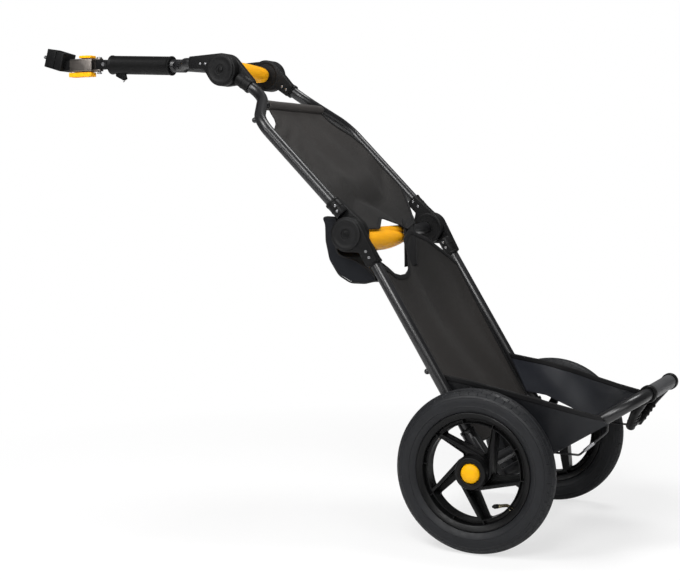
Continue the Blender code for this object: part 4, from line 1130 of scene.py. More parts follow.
def make_grips():
    """The two lock bars; the middle one has a loose tapered grip and a thicker black end."""
    big = sizes().grip_big
    for label, pivot, middle_y, hang, ends, small, waves, full in (
            ("mid", MID_PIVOT, FRAME_Y, (0.004, -0.0150), (-0.165, 0.0450), 0.0095, 0.0042, 0.42),
            ("top", TOP_PIVOT, TOP_Y, (0.0, 0.0), (-0.070, 0.072), 0.0155, 0.0, 0.10)):
        end = middle_y + JOINT_HALF - 0.001
        bar = [rod(at(pivot, -end), at(pivot, end), BAR_TUBE, 0.0006, 36)]
        if label == "mid":
            bar.append(rod(at(pivot, -0.172), at(pivot, -0.167), 0.0105, 0.0010, 36))
            sleeve = [(0.0, 0.0500), (0.0078, 0.0500), (0.0084, 0.0510), (0.0105, 0.1250),
                      (0.0122, 0.1700), (0.0118, 0.1760), (0.0100, 0.1790), (0.0, 0.1790)]
            bar.append(turned(sleeve, facing(pivot, 0.0), 48))
        body = label + "_lock"
        keep(join(*bar), body + "_rod", satin_paint(), body, body + "_bar")
        grip = grip_form(pivot, hang, *ends, big, small, waves, full)
        if label == "mid":
            hub = rod(at(pivot, ends[0] + 0.002), at(pivot, ends[1] - 0.004), BAR_TUBE + 0.003,
                      0.001, 36)
            grip = join(grip, hub)
        keep(grip, body + "_grip", grip_yellow(), body, label + "_twist_grip",
             45.0)


def make_tow_bar():
    radius = sizes().frame_tube
    bar = [rod(at(tow_point(0.1500), 0.0), at(tow_point(TOW_TUBE_END), 0.0), sizes().tow_tube,
               0.0010, 48)]
    for name, side in SIDES:
        corners = [at(tow_point(TUBE_START), side * TOP_Y), at(tow_point(0.092), side * TOP_Y),
                   at(tow_point(0.150), side * 0.015), at(tow_point(0.176), side * 0.001)]
        bar.append(pipe(bent_path(corners, 0.022, 10), radius, 40))
    keep(join(*bar), "tow_yoke_tubes", satin_paint(), "tow_bar", "tow_yoke")
    start, length = 0.1835, 0.1555
    profile = [(0.0143, 0.0), (0.0203, 0.0), (0.0208, 0.0005), (0.0208, 0.0034), (0.0205, 0.0042),
               (0.0201, 0.0060), (0.0199, 0.0085)]
    profile += [(r, length - h) for r, h in reversed(profile)]
    hang = start + length
    sleeve = turned(profile, between(at(tow_point(start), 0.0), at(tow_point(hang), 0.0)), 64,
                    True)
    lug = [(hang - 0.012, 0.0180), (hang - 0.036, 0.0180), (hang - 0.040, 0.0300),
           (hang - 0.032, 0.0335), (hang - 0.012, 0.0245)]
    outline = fillet([tow_point(a, b) for a, b in lug], 0.0022, 5)
    eye = tow_point(hang - 0.0335, 0.0280)
    ring = ring_wall(arc(eye, 0.0027, 0, 345, 23), arc(eye, 0.0046, 0, 345, 23), -0.0036, 0.0036)
    ring.transform(side_view(0.0))
    lug = plate(outline, -0.0030, 0.0030, side_view(0.0), 0.0007)
    parts = join(sleeve, lug, ring)
    keep(parts, "tow_sleeve_grip", moulded("sleeve_plastic", 0.7, 0.38, 0.52), "tow_bar",
         "tow_sleeve")
    hook = bent_path([at(eye + Vector((0.0, 0.001)), 0.0), at(eye + Vector((0.0, -0.007)), 0.0),
                      at(eye + Vector((-0.004, -0.0085)), 0.0)], 0.002, 4)
    keep(pipe(hook, 0.0011, 12), "sleeve_eye_ring", steel(), "tow_bar")


def make_hitch():
    shank = [rod(at(tow_point(TOW_TUBE_END - 0.0465), 0.0),
                 at(tow_point(TOW_TUBE_END + 0.0070), 0.0), 0.0080, 0.0010, 40),
             block((PITCH_X + 0.0060, -0.0125, HITCH_Z - 0.0090),
                   (PITCH_X + 0.0110, 0.0125, HITCH_Z + 0.0090), 0.001)]
    for name, side in SIDES:
        low, high = sorted((side * 0.0090, side * 0.0135))
        cheek = fillet([(PITCH_X + 0.0075, HITCH_Z - 0.0095), (PITCH_X + 0.0075, HITCH_Z + 0.0095),
                        (PITCH_X - 0.0085, HITCH_Z + 0.0095, 0.008),
                        (PITCH_X - 0.0085, HITCH_Z - 0.0095, 0.008)],
                       0.001, 8)
        shank.append(plate(cheek, -high, -low, side_view(0.0), 0.0006))
    keep(join(*shank), "swivel_yoke", moulded("hitch_black", 1.0, 0.3, 0.45), "swivel",
         "swivel_fork")
    profile = [(0.0, -0.0150), (0.0042, -0.0150), (0.0046, -0.0144), (0.0046, -0.0137),
               (0.0030, -0.0136)]
    profile += [(r, -h) for r, h in reversed(profile)]
    pin = turned(profile, facing(Vector((PITCH_X, HITCH_Z)), 0.0), 32)
    keep(pin, "pitch_pivot_pin", steel(), "swivel", "pitch_pin")
    body = fillet([(YAW_X - 0.0065, -0.0085, 0.0060), (PITCH_X - 0.0020, -0.0085),
                   (PITCH_X - 0.0020, 0.0085), (YAW_X - 0.0065, 0.0085, 0.0060)], 0.0015, 8)
    link = [plate(body, HITCH_Z - 0.0100, HITCH_Z + 0.0100, None, 0.0008),
            rod((PITCH_X, -0.0085, HITCH_Z), (PITCH_X, 0.0085, HITCH_Z), 0.0056, 0.0006, 40)]
    keep(join(*link), "hitch_knuckle", moulded(), "link", "hitch_link")
    make_receiver()
    make_clamp()
    make_tabs()


def make_tabs():
    """The ribbed release tabs above and below the receiver, each with its stem."""
    for name, sign, front, plate_face, rib_face in TABS:
        low, high = sorted((sign * 0.0155, sign * plate_face))
        outline = fillet([(front, -TAB_HALF), (TAB_END, -TAB_HALF), (TAB_END, TAB_HALF),
                          (front, TAB_HALF)], 0.0030, 6)
        tab = [plate(outline, HITCH_Z + low, HITCH_Z + high, None, 0.0009, 3),
               rod((STEM_X, 0.0, HITCH_Z + sign * 0.0118),
                   (STEM_X, 0.0, HITCH_Z + sign * 0.0180), 0.0040)]
        low, high = sorted((sign * 0.0200, sign * rib_face))
        for i in range(4):
            x = front + 0.0070 + i * 0.0034
            tab.append(block((x, -0.0075, HITCH_Z + low), (x + 0.0013, 0.0075, HITCH_Z + high),
                             0.0004))
        keep(join(*tab), "release_lever_" + name, grip_yellow(), "tab_" + name,
             "release_tab_" + name)


def make_receiver():
    """A bright box that slides over the clamp's tongue, with lips round the yaw pin."""
    outer = fillet([(-0.0150, -0.0140), (0.0150, -0.0140), (0.0150, 0.0140),
                    (-0.0150, 0.0140)], 0.0030, 6)
    inner = fillet([(-0.0125, -0.0115), (0.0125, -0.0115), (0.0125, 0.0115),
                    (-0.0125, 0.0115)], 0.0012, 6)
    lay = Matrix(((0, 0, 1, 0), (1, 0, 0, 0), (0, 1, 0, HITCH_Z), (0, 0, 0, 1)))
    box = ring_wall(inner, outer, BOX_FRONT, BOX_REAR)
    box.transform(lay)
    parts = [box, block((BOX_REAR - 0.004, -0.0140, HITCH_Z - 0.0130),
                        (BOX_REAR - 0.001, 0.0140, HITCH_Z + 0.0130), 0.0003)]
    for sign in (-1, 1):
        low, high = sorted((sign * 0.0104, sign * 0.0137))
        lip = fillet([(BOX_REAR - 0.003, -0.0085), (YAW_X + 0.0080, -0.0085, 0.0075),
                      (YAW_X + 0.0080, 0.0085, 0.0075), (BOX_REAR - 0.003, 0.0085)], 0.0, 8)
        parts.append(plate(lip, HITCH_Z + low, HITCH_Z + high, None, 0.0005))
    keep(join(*parts), "receiver_box", aluminium(), "hitch_head", "hitch_receiver")
    profile = [(0.0, 0.0170), (0.0050, 0.0170), (0.0060, 0.0162), (0.0062, 0.0150),
               (0.0062, 0.0140), (0.0035, 0.0140), (0.0035, -0.0165), (0.0055, -0.0167),
               (0.0055, -0.0188), (0.0048, -0.0195), (0.0, -0.0195)]
    keep(turned(profile, Matrix.Translation((YAW_X, 0.0, HITCH_Z)), 36), "yaw_pivot_pin", steel(),
         "hitch_head", "yaw_pin")


def clamp_place():
    """The clamp's own axes: its Z follows the leaning bore."""
    lean = Matrix.Rotation(math.radians(BORE_TILT), 4, "Y")
    return Matrix.Translation(at(CLAMP_MIDDLE, 0.0)) @ lean


def clamp_outline(front):
    """Half of the clamp in plan, with its half of the round bore left out."""
    bore = arc((0.0, 0.0), 0.0159, *((92.2, 267.8) if front else (-87.8, 87.8)), 24)
    if front:
        outer = fillet([(-0.0006, -0.0240, 0.001), (-0.0265, -0.0240, 0.005),
                        (-0.0265, 0.0240, 0.005), (-0.0006, 0.0240, 0.001)], 0.001, 6)
        return outer + bore
    outer = fillet([(0.0006, 0.0240, 0.001), (0.0200, 0.0240, 0.004), (0.0200, -0.0240, 0.004),
                    (0.0006, -0.0240, 0.001)], 0.001, 6)
    return outer + bore


def make_clamp():
    place = clamp_place()
    finish = moulded("clamp_plastic", 0.95, 0.38, 0.52)
    front = [plate(clamp_outline(True), -0.0200, 0.0200, place, 0.0012, 3)]
    for z in (-0.0120, 0.0, 0.0120):
        front.append(block((-0.0273, -0.0140, z - 0.0014), (-0.0255, 0.0140, z + 0.0014), 0.0006,
                           place))
    keep(join(*front), "clamp_front_shell", finish, "hitch_head", "clamp_front")
    rear = [plate(clamp_outline(False), -0.0200, 0.0200, place, 0.0012, 3),
            block((-1.0560, -0.0120, HITCH_Z - 0.0110), (-1.0100, 0.0120, HITCH_Z + 0.0110),
                  0.0008)]
    keep(join(*rear), "clamp_rear_shell", finish, "hitch_head", "clamp_rear")
    for name, side in SIDES:
        way = (place @ Matrix.Translation((0.0, side * 0.0200, 0.0))
               @ Matrix.Rotation(-math.pi / 2, 4, "Y"))
        profile = [(0.0, 0.0292), (0.0016, 0.0292), (0.0016, 0.0310), (0.0032, 0.0309),
                   (0.0038, 0.0303), (0.0038, 0.0269), (0.0021, 0.0269), (0.0021, -0.0180),
                   (0.0, -0.0180)]
        keep(turned(profile, way, 30), "clamp_screw_" + name, steel(), "hitch_head",
             "clamp_bolt_" + name)


def tray_path():
    corner_y = LEG_Y - TRAY_CORNER
    plan = [Vector((-0.012, -LEG_Y))]
    plan += arc((TRAY_DEPTH - TRAY_CORNER, -corner_y), TRAY_CORNER, -90, 0, 16)
    plan += arc((TRAY_DEPTH - TRAY_CORNER, corner_y), TRAY_CORNER, 0, 90, 16)
    plan += [Vector((-0.012, LEG_Y))]
    return [at(tray_point(p.x), p.y) for p in plan]


def make_tray():
    radius = sizes().frame_tube
    hoop = [pipe(tray_path(), radius, 48)]
    for name, side in SIDES:
        y = side * (LEG_Y + 0.001)
        corners = [at(tray_point(0.224, -radius + 0.002), y), at(tray_point(0.215, -0.0220), y),
                   at(tray_point(0.148, -0.0340), y), at(tray_point(0.110, -radius + 0.002), y)]
        hoop.append(pipe(bent_path(corners, 0.008, 8), 0.0020, 20))
    keep(join(*hoop), "tray_hoop", satin_paint(), "tray", "tray_tube")
    for name, side in SIDES:
        y = side * (LEG_Y + 0.001)
        near, far = at(tray_point(0.1600, -0.0318), y), at(tray_point(0.1840, -0.0275), y)
        keep(rod(near, far, 0.0031, 0.0006, 24), "strap_wire_sleeve_" + name, steel(), "tray")
        end = at(tray_point(-0.0135), side * LEG_Y)
        plug = rod(end, at(tray_point(-0.0105), side * LEG_Y), radius - 0.0006, 0.0010, 40)
        keep(plug, "tray_end_plug_" + name, moulded(), "tray")
    inner = STAND_Y - 0.0070
    profile = [(radius + 0.0005, -inner), (radius + 0.0019, -inner),
               (radius + 0.0025, -inner + 0.0006), (radius + 0.0025, inner - 0.0006),
               (radius + 0.0019, inner), (radius + 0.0005, inner)]
    sleeve = turned(profile, facing(tray_point(TRAY_DEPTH), 0.0), 56, True)
    keep(sleeve, "bar_grey_sleeve", grey_sleeve(), "tray", "bar_sleeve")


def grey_sleeve():
    """Dark grey plastic, rubbed a little brighter along the bar."""
    def make(name):
        f = Finish(name, 0.5, Specular_IOR_Level=0.45)
        where = f.place()
        cloud = f.noise(where, 50.0, 4.0)
        f.colour(f.blend(f.spread(cloud, 0.3, 0.75), (0.045, 0.046, 0.048), (0.075, 0.076, 0.080)))
        rub = f.noise(f.place(scale=(1.0, 12.0, 1.0)), 40.0, 4.0)
        f.rough(f.spread(rub, 0.3, 0.7, 0.38, 0.55))
        f.relief(f.noise(where, 700.0, 2.0), 0.00008, 0.5)
        return f.made
    return ready("grey_sleeve_plastic", make)


def make_kickstand():
    """Two rings on the rear bar, two arms and a ribbed foot."""
    radius = sizes().frame_tube
    pivot = tray_point(TRAY_DEPTH)
    foot = side_point(pivot, TRAY_SLOPE + 180 + 25.0, 0.0830)
    knee = side_point(pivot, TRAY_SLOPE + 180 + 21.0, 0.044)
    top = side_point(pivot, TRAY_SLOPE + 180 + 24.0, radius + 0.0030)
    forms = []
    ring = [(radius + 0.0008, 0.0060), (radius + 0.0012, 0.0065), (radius + 0.0040, 0.0064),
            (radius + 0.0048, 0.0052), (radius + 0.0049, 0.0015), (radius + 0.0043, 0.0),
            (radius + 0.0049, -0.0015), (radius + 0.0048, -0.0052), (radius + 0.0040, -0.0064),
            (radius + 0.0012, -0.0065), (radius + 0.0008, -0.0060)]
    for name, side in SIDES:
        forms.append(turned(ring, facing(pivot, side * STAND_Y), 56, True))
        arm = bent_path([at(top, side * STAND_Y), at(knee, side * (STAND_Y - 0.020)),
                         at(foot, side * STAND_FOOT_Y)], 0.03, 10)
        tip = arm[-1] + (arm[-1] - arm[-2]).normalized() * 0.0060
        forms.append(pipe(arm + [tip], 0.0088, 36, 0.0030))
        bow = arm[len(arm) // 2] - arm[0].lerp(arm[-1], 0.5)
        way = (arm[-1] - arm[0]).normalized() * 0.0016
        for share in (0.55, 0.66, 0.77, 0.88):
            spot = arm[0].lerp(arm[-1], share) + bow * (1 - share)
            forms.append(rod(spot - way, spot + way, 0.0096, 0.0008, 32))
    lean = Matrix.Rotation(math.radians(-TRAY_SLOPE - 22.0), 4, "Y")
    forms.append(block((-0.0055, -STAND_FOOT_Y, -0.0055), (0.0055, STAND_FOOT_Y, 0.0055), 0.0018,
                       Matrix.Translation(at(foot, 0.0)) @ lean, 3))
    keep(join(*forms), "kickstand_loop", moulded("stand_plastic", 1.0, 0.28, 0.44), "kickstand",
         "kickstand")


def run_through(points, radius=0.012, steps=6):
    """A border curve through corners of a plan, read by its share of length from 0 to 1."""
    path = bent_path([Vector((x, y, 0.0)) for x, y in points], radius, steps)
    lengths = [0.0]
    for before, after in zip(path, path[1:]):
        lengths.append(lengths[-1] + (after - before).length)

    def place(share):
        want = share * lengths[-1]
        for i in range(len(path) - 1):
            if want <= lengths[i + 1] or i == len(path) - 2:
                part = (want - lengths[i]) / max(lengths[i + 1] - lengths[i], 1e-9)
                return path[i].lerp(path[i + 1], clamp(part)).to_2d()
    return place


def stretched(bottom, top, left, right):
    """The cut of a panel between its four borders, as a place in the plan for two shares."""
    def place(u, v):
        sides = left(v) * (1 - u) + right(v) * u + bottom(u) * (1 - v) + top(u) * v
        corners = (bottom(0.0) * (1 - v) + top(0.0) * v) * (1 - u)
        return sides - corners - (bottom(1.0) * (1 - v) + top(1.0) * v) * u
    return place


def cloth(cut, hang, columns, rows, share=(0.0, 1.0, 0.0, 1.0)):
    """A sheet of cloth: a grid that takes the plan's places and hangs between its edges."""
    form = bmesh.new()
    bmesh.ops.create_grid(form, x_segments=columns, y_segments=rows, size=0.5)
    flat = {}
    for vert in form.verts:
        u = share[0] + (share[1] - share[0]) * (vert.co.x + 0.5)
        v = share[2] + (share[3] - share[2]) * (vert.co.y + 0.5)
        place = cut(u, v)
        flat[vert] = place
        vert.co = hang(place, u, v)
    threads = form.loops.layers.uv.new("cloth")
    for face in form.faces:
        for loop in face.loops:
            loop[threads].uv = flat[loop.vert]
    return form


def hem_strip(cut, hang, edge, width, columns, lift=0.0, rows=4):
    """A strip of tape along one edge of a cloth, measured along and across the tape."""
    form = bmesh.new()
    bmesh.ops.create_grid(form, x_segments=columns, y_segments=rows, size=0.5)
    tape = {}
    length = 0.0
    before = None
    for i in range(columns + 1):
        share = i / columns
        u, v = {"bottom": (share, 0.0), "top": (share, 1.0), "left": (0.0, share),
                "right": (1.0, share)}[edge]
        here = cut(u, v)
        length += (here - before).length if before else 0.0
        before = here
        tape[i] = (u, v, length)
    inward = {"bottom": (0, 1), "top": (0, -1), "left": (1, 0), "right": (-1, 0)}[edge]
    flat = {}
    for vert in form.verts:
        i = round((vert.co.x + 0.5) * columns)
        depth = (vert.co.y + 0.5) * width
        u, v, run = tape[i]
        step = cut(u + inward[0] * 0.01, v + inward[1] * 0.01) - cut(u, v)
        reach = depth / max(step.length * 100, 1e-6)
        u, v = u + inward[0] * reach, v + inward[1] * reach
        vert.co = hang(cut(u, v), u, v)
        flat[vert] = Vector((run, depth))
    threads = form.loops.layers.uv.new("cloth")
    for face in form.faces:
        for loop in face.loops:
            loop[threads].uv = flat[loop.vert]
    bmesh.ops.recalc_face_normals(form, faces=form.faces[:])
    if lift:
        form.normal_update()
        shift = {vert: vert.normal * lift for vert in form.verts}
        for vert, move in shift.items():
            vert.co += move
    return form


def sewn(form, name, finish, thickness, stands_for=()):
    """Keeps a sheet of cloth and gives it its thickness."""
    piece = keep(form, name, finish, None, stands_for, 0.0)
    wall = piece.modifiers.new("thickness", "SOLIDIFY")
    wall.thickness = thickness
    wall.offset = 0.0
    wall.use_even_offset = False
    return piece


def flat_area(cut, columns=60, rows=40):
    """The area of a panel's cut, in square metres."""
    total = 0.0
    for i in range(columns):
        for j in range(rows):
            a = cut(i / columns, j / rows)
            b = cut((i + 1) / columns, j / rows)
            c = cut((i + 1) / columns, (j + 1) / rows)
            d = cut(i / columns, (j + 1) / rows)
            total += abs((c - a).x * (d - b).y - (c - a).y * (d - b).x) / 2
    return total


def cut_size(cut):
    """The width and length of the cloth that a panel is cut from."""
    places = [cut(i / 24, j / 24) for i in range(25) for j in range(25)]
    return (max(p.x for p in places) - min(p.x for p in places),
            max(p.y for p in places) - min(p.y for p in places))


def bump(value, middle, width):
    """A soft hill of height 1 round a middle."""
    return math.exp(-((value - middle) / width) ** 2)


def clamp(share):
    return min(max(share, 0.0), 1.0)


def hill(share):
    """Rises from 0 at one edge of a cloth to 1 in its middle, and falls back to 0."""
    return max(0.0, math.sin(math.pi * clamp(share)))


def upper_cut():
    """The upper panel's cut, as (distance from the middle, height up the upper tubes)."""
    bottom = run_through([(-0.183, 0.047), (-0.178, 0.030), (-0.176, -0.005), (-0.098, -0.006),
                          (-0.048, 0.020), (0.008, 0.001), (0.026, -0.014), (0.093, 0.002),
                          (0.148, 0.052), (0.192, 0.105)], 0.010)
    top = run_through([(-0.119, 0.3230), (0.119, 0.3230)], 0.001)
    left = run_through([(-0.183, 0.047), (-0.184, 0.070), (-0.192, 0.084), (-0.192, 0.235),
                        (-0.176, 0.262), (-0.148, 0.280), (-0.133, 0.298),
                        (-0.119, 0.3230)], 0.010)
    right = run_through([(0.192, 0.105), (0.192, 0.235), (0.176, 0.262), (0.148, 0.280),
                         (0.126, 0.300), (0.119, 0.3230)], 0.014)
    return stretched(bottom, top, left, right)


def upper_hang(place, u, v):
    """Slack between the tubes, with soft runs down the panel and a roll over its lower third."""
    inside = hill(u) ** 0.7
    along = hill(v) ** 0.5
    slack = -sizes().sag * inside * along
    runs = 0.0022 * math.sin(6.2 * u * math.pi + 2.0 * v) * along * inside
    roll = 0.0050 * bump(v, 0.33 + 0.10 * u, 0.07) * inside
    roll -= 0.0075 * bump(v, 0.16 + 0.10 * u, 0.06) * inside
    pull = 0.0016 * math.sin(34 * (u - 0.8 * v)) * bump(u, 0.05, 0.22) * along
    low = -0.0020 * (1 - v)
    return at(upper_point(place.y, 0.0030 + low + slack + runs + roll + pull), place.x)


def lower_cut():
    """The lower panel's cut, as (distance from the middle, height up the lower tubes)."""
    bottom = run_through([(-0.191, -0.4100), (-0.168, -0.4250), (-0.168, -0.4550),
                          (0.168, -0.4550), (0.168, -0.4250), (0.191, -0.4100)], 0.006)
    mouth = [(-0.164, -0.0862), (-0.150, -0.0985), (-0.128, -0.1040), (-0.100, -0.1035),
             (-0.078, -0.0955), (-0.065, -0.0830), (-0.045, -0.0647), (-0.035, -0.0518),
             (-0.024, -0.0300)]
    shoulder = [(0.030, -0.0100), (0.098, -0.0300), (0.152, -0.0640), (0.191, -0.0950)]
    top = run_through([(-0.191, -0.0790)] + mouth + shoulder, 0.010)
    left = run_through([(-0.191, -0.4100), (-0.191, -0.0790)])
    right = run_through([(0.191, -0.4100), (0.191, -0.0950)])
    return stretched(bottom, top, left, right)


def lower_hang(place, u, v):
    """Slack between the lower tubes, with long folds that run down to the axle."""
    inside = hill(u) ** 0.7
    along = hill(v) ** 0.5
    slack = -sizes().sag * 0.9 * inside * along
    runs = 0.0028 * math.sin(5.0 * u * math.pi + 3.2 * v + 0.6) * along * inside
    cross = 0.0016 * math.sin(21 * (u + 0.55 * v)) * bump(v, 0.30, 0.35) * inside
    lip = 0.0030 * bump(v, 0.97, 0.05) * bump(u, 0.36, 0.20)
    spot = side_point(lower_point(0.0, 0.004), LOWER_SLOPE - PANEL_LEAN, -place.y,
                      slack + runs + cross + lip)
    return at(spot, place.x)


def panel_finish():
    """The panels' cloth, with painted light and shade: palest at the rail, and again above the
    axle.
    """
    return fabric("panel_fabric", colours().panel, 0.58, 0.16, 0.03, PANEL_PAINTED_SHADE)


def hem_tape():
    return webbing("black_webbing", stitches=(0.0022, 0.0125))


def hemmed_panel(label, cut, hang, columns, rows, hem_widths):
    """A fabric panel of the lower or upper frame, and the tape along its free edges."""
    panel = sewn(cloth(cut, hang, columns, rows), label + "_fabric_panel", panel_finish(),
                 sizes().cloth, label + "_panel")
    hems = []
    for edge, width in hem_widths:
        strip = hem_strip(cut, hang, edge, width, rows, HEM_LIFT)
        hems.append(sewn(strip, label + "_panel_hem_" + edge, hem_tape(), 0.0022))
    return panel, hems


def make_panels():
    cut = upper_cut()
    upper, hems = hemmed_panel("upper", cut, upper_hang, 84, 72,
                               (("bottom", 0.007), ("left", 0.007), ("right", 0.007)))
    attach(upper, "upper_frame")
    for hem in hems:
        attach(hem, "upper_frame")
    profile = [(0.0078, -0.1200), (0.0098, -0.1195), (0.0101, -0.1150), (0.0096, -0.0700),
               (0.0099, -0.0200), (0.0096, 0.0400), (0.0100, 0.0900), (0.0100, 0.1150),
               (0.0097, 0.1195), (0.0078, 0.1200)]
    roll = turned(profile, facing(TOP_RAIL, 0.0), 48, True)
    finish = fabric("rail_sleeve_fabric", shade(colours().panel, 2.6), 0.5, 0.25)
    loop = keep(roll, "panel_rail_sleeve", finish, "upper_frame")
    cut_size(cut)
    flat_area(cut)
    cut = lower_cut()
    lower, hems = hemmed_panel("lower", cut, lower_hang, 96, 110,
                               (("top", 0.010), ("left", 0.007), ("right", 0.007)))
    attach(lower, "lower_frame")
    for hem in hems:
        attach(hem, "lower_frame")
    cut_size(cut)
    flat_area(cut)


def strip_place(share):
    """A place on the strip: up the lower frame, over the lock bar and up the upper frame."""
    low = side_point(lower_point(0.0, 0.004), LOWER_SLOPE - PANEL_LEAN, 0.086, -0.0070)
    over = side_point(MID_PIVOT, (LOWER_SLOPE + UPPER_SLOPE) / 2, 0.0, 0.0290)
    high = upper_point(0.040, -0.0100)
    a, b = low.lerp(over, share), over.lerp(high, share)
    return a.lerp(b, share)


def make_joint_strip():
    """The strip of fabric that crosses in front of the lock bar, with its two edge tapes."""
    left = run_through([(-0.0625, 0.0), (-0.029, 0.036), (0.015, 0.072), (0.065, 0.109),
                        (0.085, 0.145)], 0.05)
    right = run_through([(-0.0025, 0.0), (0.043, 0.036), (0.079, 0.072), (0.125, 0.109),
                         (0.148, 0.145)], 0.05)
    cut = stretched(run_through([(-0.0625, 0.0), (-0.0025, 0.0)]),
                    run_through([(0.085, 0.145), (0.148, 0.145)]), left, right)

    def hang(place, u, v):
        fold = 0.0016 * math.sin(9 * u + 4 * v) * hill(v)
        spot = strip_place(clamp(v))
        return at(side_point(spot, (LOWER_SLOPE + UPPER_SLOPE) / 2, 0.0, fold), place.x)

    strip = sewn(cloth(cut, hang, 30, 44), "joint_cover_strip",
                 webbing("cover_tape", stitches=(9.0,)), sizes().cloth)
    hems = []
    for edge in ("left", "right"):
        strip_edge = hem_strip(cut, hang, edge, 0.009, 44, 0.0007)
        hems.append(sewn(strip_edge, "joint_cover_hem_" + edge, hem_tape(), 0.0024))
    start = strip_place(0.32)
    end = strip_place(0.68)
    for piece in [strip] + hems:
        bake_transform(piece)
    cut_size(cut)
    flat_area(cut)


def wall_cut(name):
    """A tray wall's cut in the side view, from its lower edge to its top hem."""
    hems = {"left": [(-0.0810, 0.3135), (-0.0296, 0.3065), (0.0282, 0.2972), (0.0691, 0.2896),
                     (0.1406, 0.2738), (0.2134, 0.2566)],
            "right": [(-0.0810, 0.3120), (-0.0567, 0.3086), (-0.0161, 0.3025), (0.0420, 0.2891),
                      (0.1007, 0.2740), (0.1442, 0.2624), (0.2134, 0.2480)]}
    bottom = run_through([WALL_FRONT, (0.0016, 0.2285), (0.0388, 0.2125), (0.1200, 0.1800),
                          (0.1500, 0.1950), WALL_REAR], 0.02)
    top = run_through(hems[name], 0.05)
    left = run_through([WALL_FRONT, hems[name][0]])
    right = run_through([WALL_REAR, hems[name][-1]])
    return stretched(bottom, top, left, right)


def make_walls():
    for name, side in SIDES:
        cut = wall_cut(name)
        # Lit and shaded copies of one cloth: each wall's painted light tint and its painted shade
        # band
        painted_light_tint, painted_shade_bands = WALL_PAINTED_LIGHT[name]
        finish = fabric("wall_fabric_" + name, shade(colours().wall, painted_light_tint), 0.34, 0.30, 0.03,
                        (painted_shade_bands,))

        def hang(place, u, v, side=side):
            lean = hill(u) ** 2
            waves = 0.0016 * math.sin(15 * u + 2.5 * v) * v
            waves += 0.0012 * math.sin(27 * u - 6 * v) * lean
            out = 0.0120 * v * lean + waves
            return Vector((place.x, side * (WALL_Y - 0.0005 + out), place.y))

        wall = sewn(cloth(cut, hang, 96, 32), "tray_wall_" + name, finish, sizes().cloth,
                    "side_wall_" + name)
        hem = sewn(hem_strip(cut, hang, "top", 0.012, 96, HEM_LIFT), "tray_wall_hem_" + name,
                   hem_tape(), 0.0024)
        for piece in (wall, hem):
            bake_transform(piece)
        cut_size(cut)
        flat_area(cut)


def make_floor():
    """The fabric floor between the tray's legs."""
    reach = 0.272
    round_by = 0.060
    edge = 0.162
    right = [(edge, 0.010)] + arc((edge - round_by, reach - round_by), round_by, 0, 90, 8)
    left = [(-x, y) for x, y in right]
    cut = stretched(run_through([(-edge, 0.010), (edge, 0.010)]),
                    run_through([(-(edge - round_by), reach), (edge - round_by, reach)]),
                    run_through(left, 0.004), run_through(right, 0.004))

    def hang(place, u, v):
        inside = hill(u) ** 0.8
        slack = -0.006 * inside * hill(v)
        fold = 0.0015 * math.sin(14 * u + 5 * v) * inside
        return at(tray_point(place.y, 0.0040 + slack + fold), place.x)

    finish = fabric("wall_fabric", colours().wall, 0.32, 0.40)
    floor = sewn(cloth(cut, hang, 64, 56), "tray_fabric_floor", finish, sizes().cloth,
                 "tray_floor")
    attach(floor, "tray")
    cut_size(cut)
    flat_area(cut)


def pouch_form():
    """The bag's shell: its side outline carried across, with slumped ends and soft wrinkles."""
    corners = [(-0.3060, 0.6020, 0.004), (-0.3345, 0.6045, 0.003), (-0.3285, 0.5900, 0.02),
               (-0.3275, 0.5573, 0.03), (-0.3190, 0.5200, 0.03), (-0.2990, 0.4890, 0.03),
               (-0.2730, 0.4745, 0.03), (-0.2417, 0.4745, 0.03), (-0.2128, 0.4815, 0.006),
               (-0.2360, 0.5000, 0.03), (-0.2620, 0.5180, 0.03), (-0.3060, 0.5300, 0.02)]
    outline = fillet(corners, 0.01, 5)
    middle = sum(outline, Vector((0.0, 0.0))) / len(outline)
    outline = [p - middle for p in outline]
    places = []
    low, high = 0.0850, 0.1810
    for i in range(25):
        share = i / 24
        size = 0.955 + 0.045 * min(1.0, 5.0 * min(share, 1 - share)) ** 0.5
        y = low + (high - low) * share
        places.append(Matrix.Translation((middle.x, middle.y, y))
                      @ Matrix.Diagonal((size, size, 1.0, 1.0)))
    form = carried(outline, places)
    form.transform(side_view(0.0))
    form.normal_update()
    shift = {}
    for vert in form.verts:
        x, y, z = vert.co
        dent = 0.0012 * math.sin(90 * z + 40 * y) + 0.0010 * math.sin(70 * x - 60 * y + 1.0)
        shift[vert] = vert.normal * (dent - 0.0010)
    for vert, move in shift.items():
        vert.co += move
    return form, outline, middle


def make_pouch():
    form, outline, middle = pouch_form()
    finish = fabric("pouch_fabric", shade(colours().wall, 0.9), 0.6, 0.12)
    shell = keep(form, "pouch_bag", finish, "lower_frame", "pouch", 60.0)
    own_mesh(shell)
    for label, y in (("outer", -0.1795), ("inner", -0.0865)):
        path = [Vector((p.x * 0.952 + middle.x, y, p.y * 0.952 + middle.y)) for p in outline]
        piping = carried(circle(0.0017, 12), places_along(path + [path[0]]), cap=False)
        finish = webbing("piping_tape", (0.012, 0.012, 0.012), (9.0,))
        piece = keep(piping, "pouch_piping_" + label, finish, "lower_frame")
        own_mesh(piece)


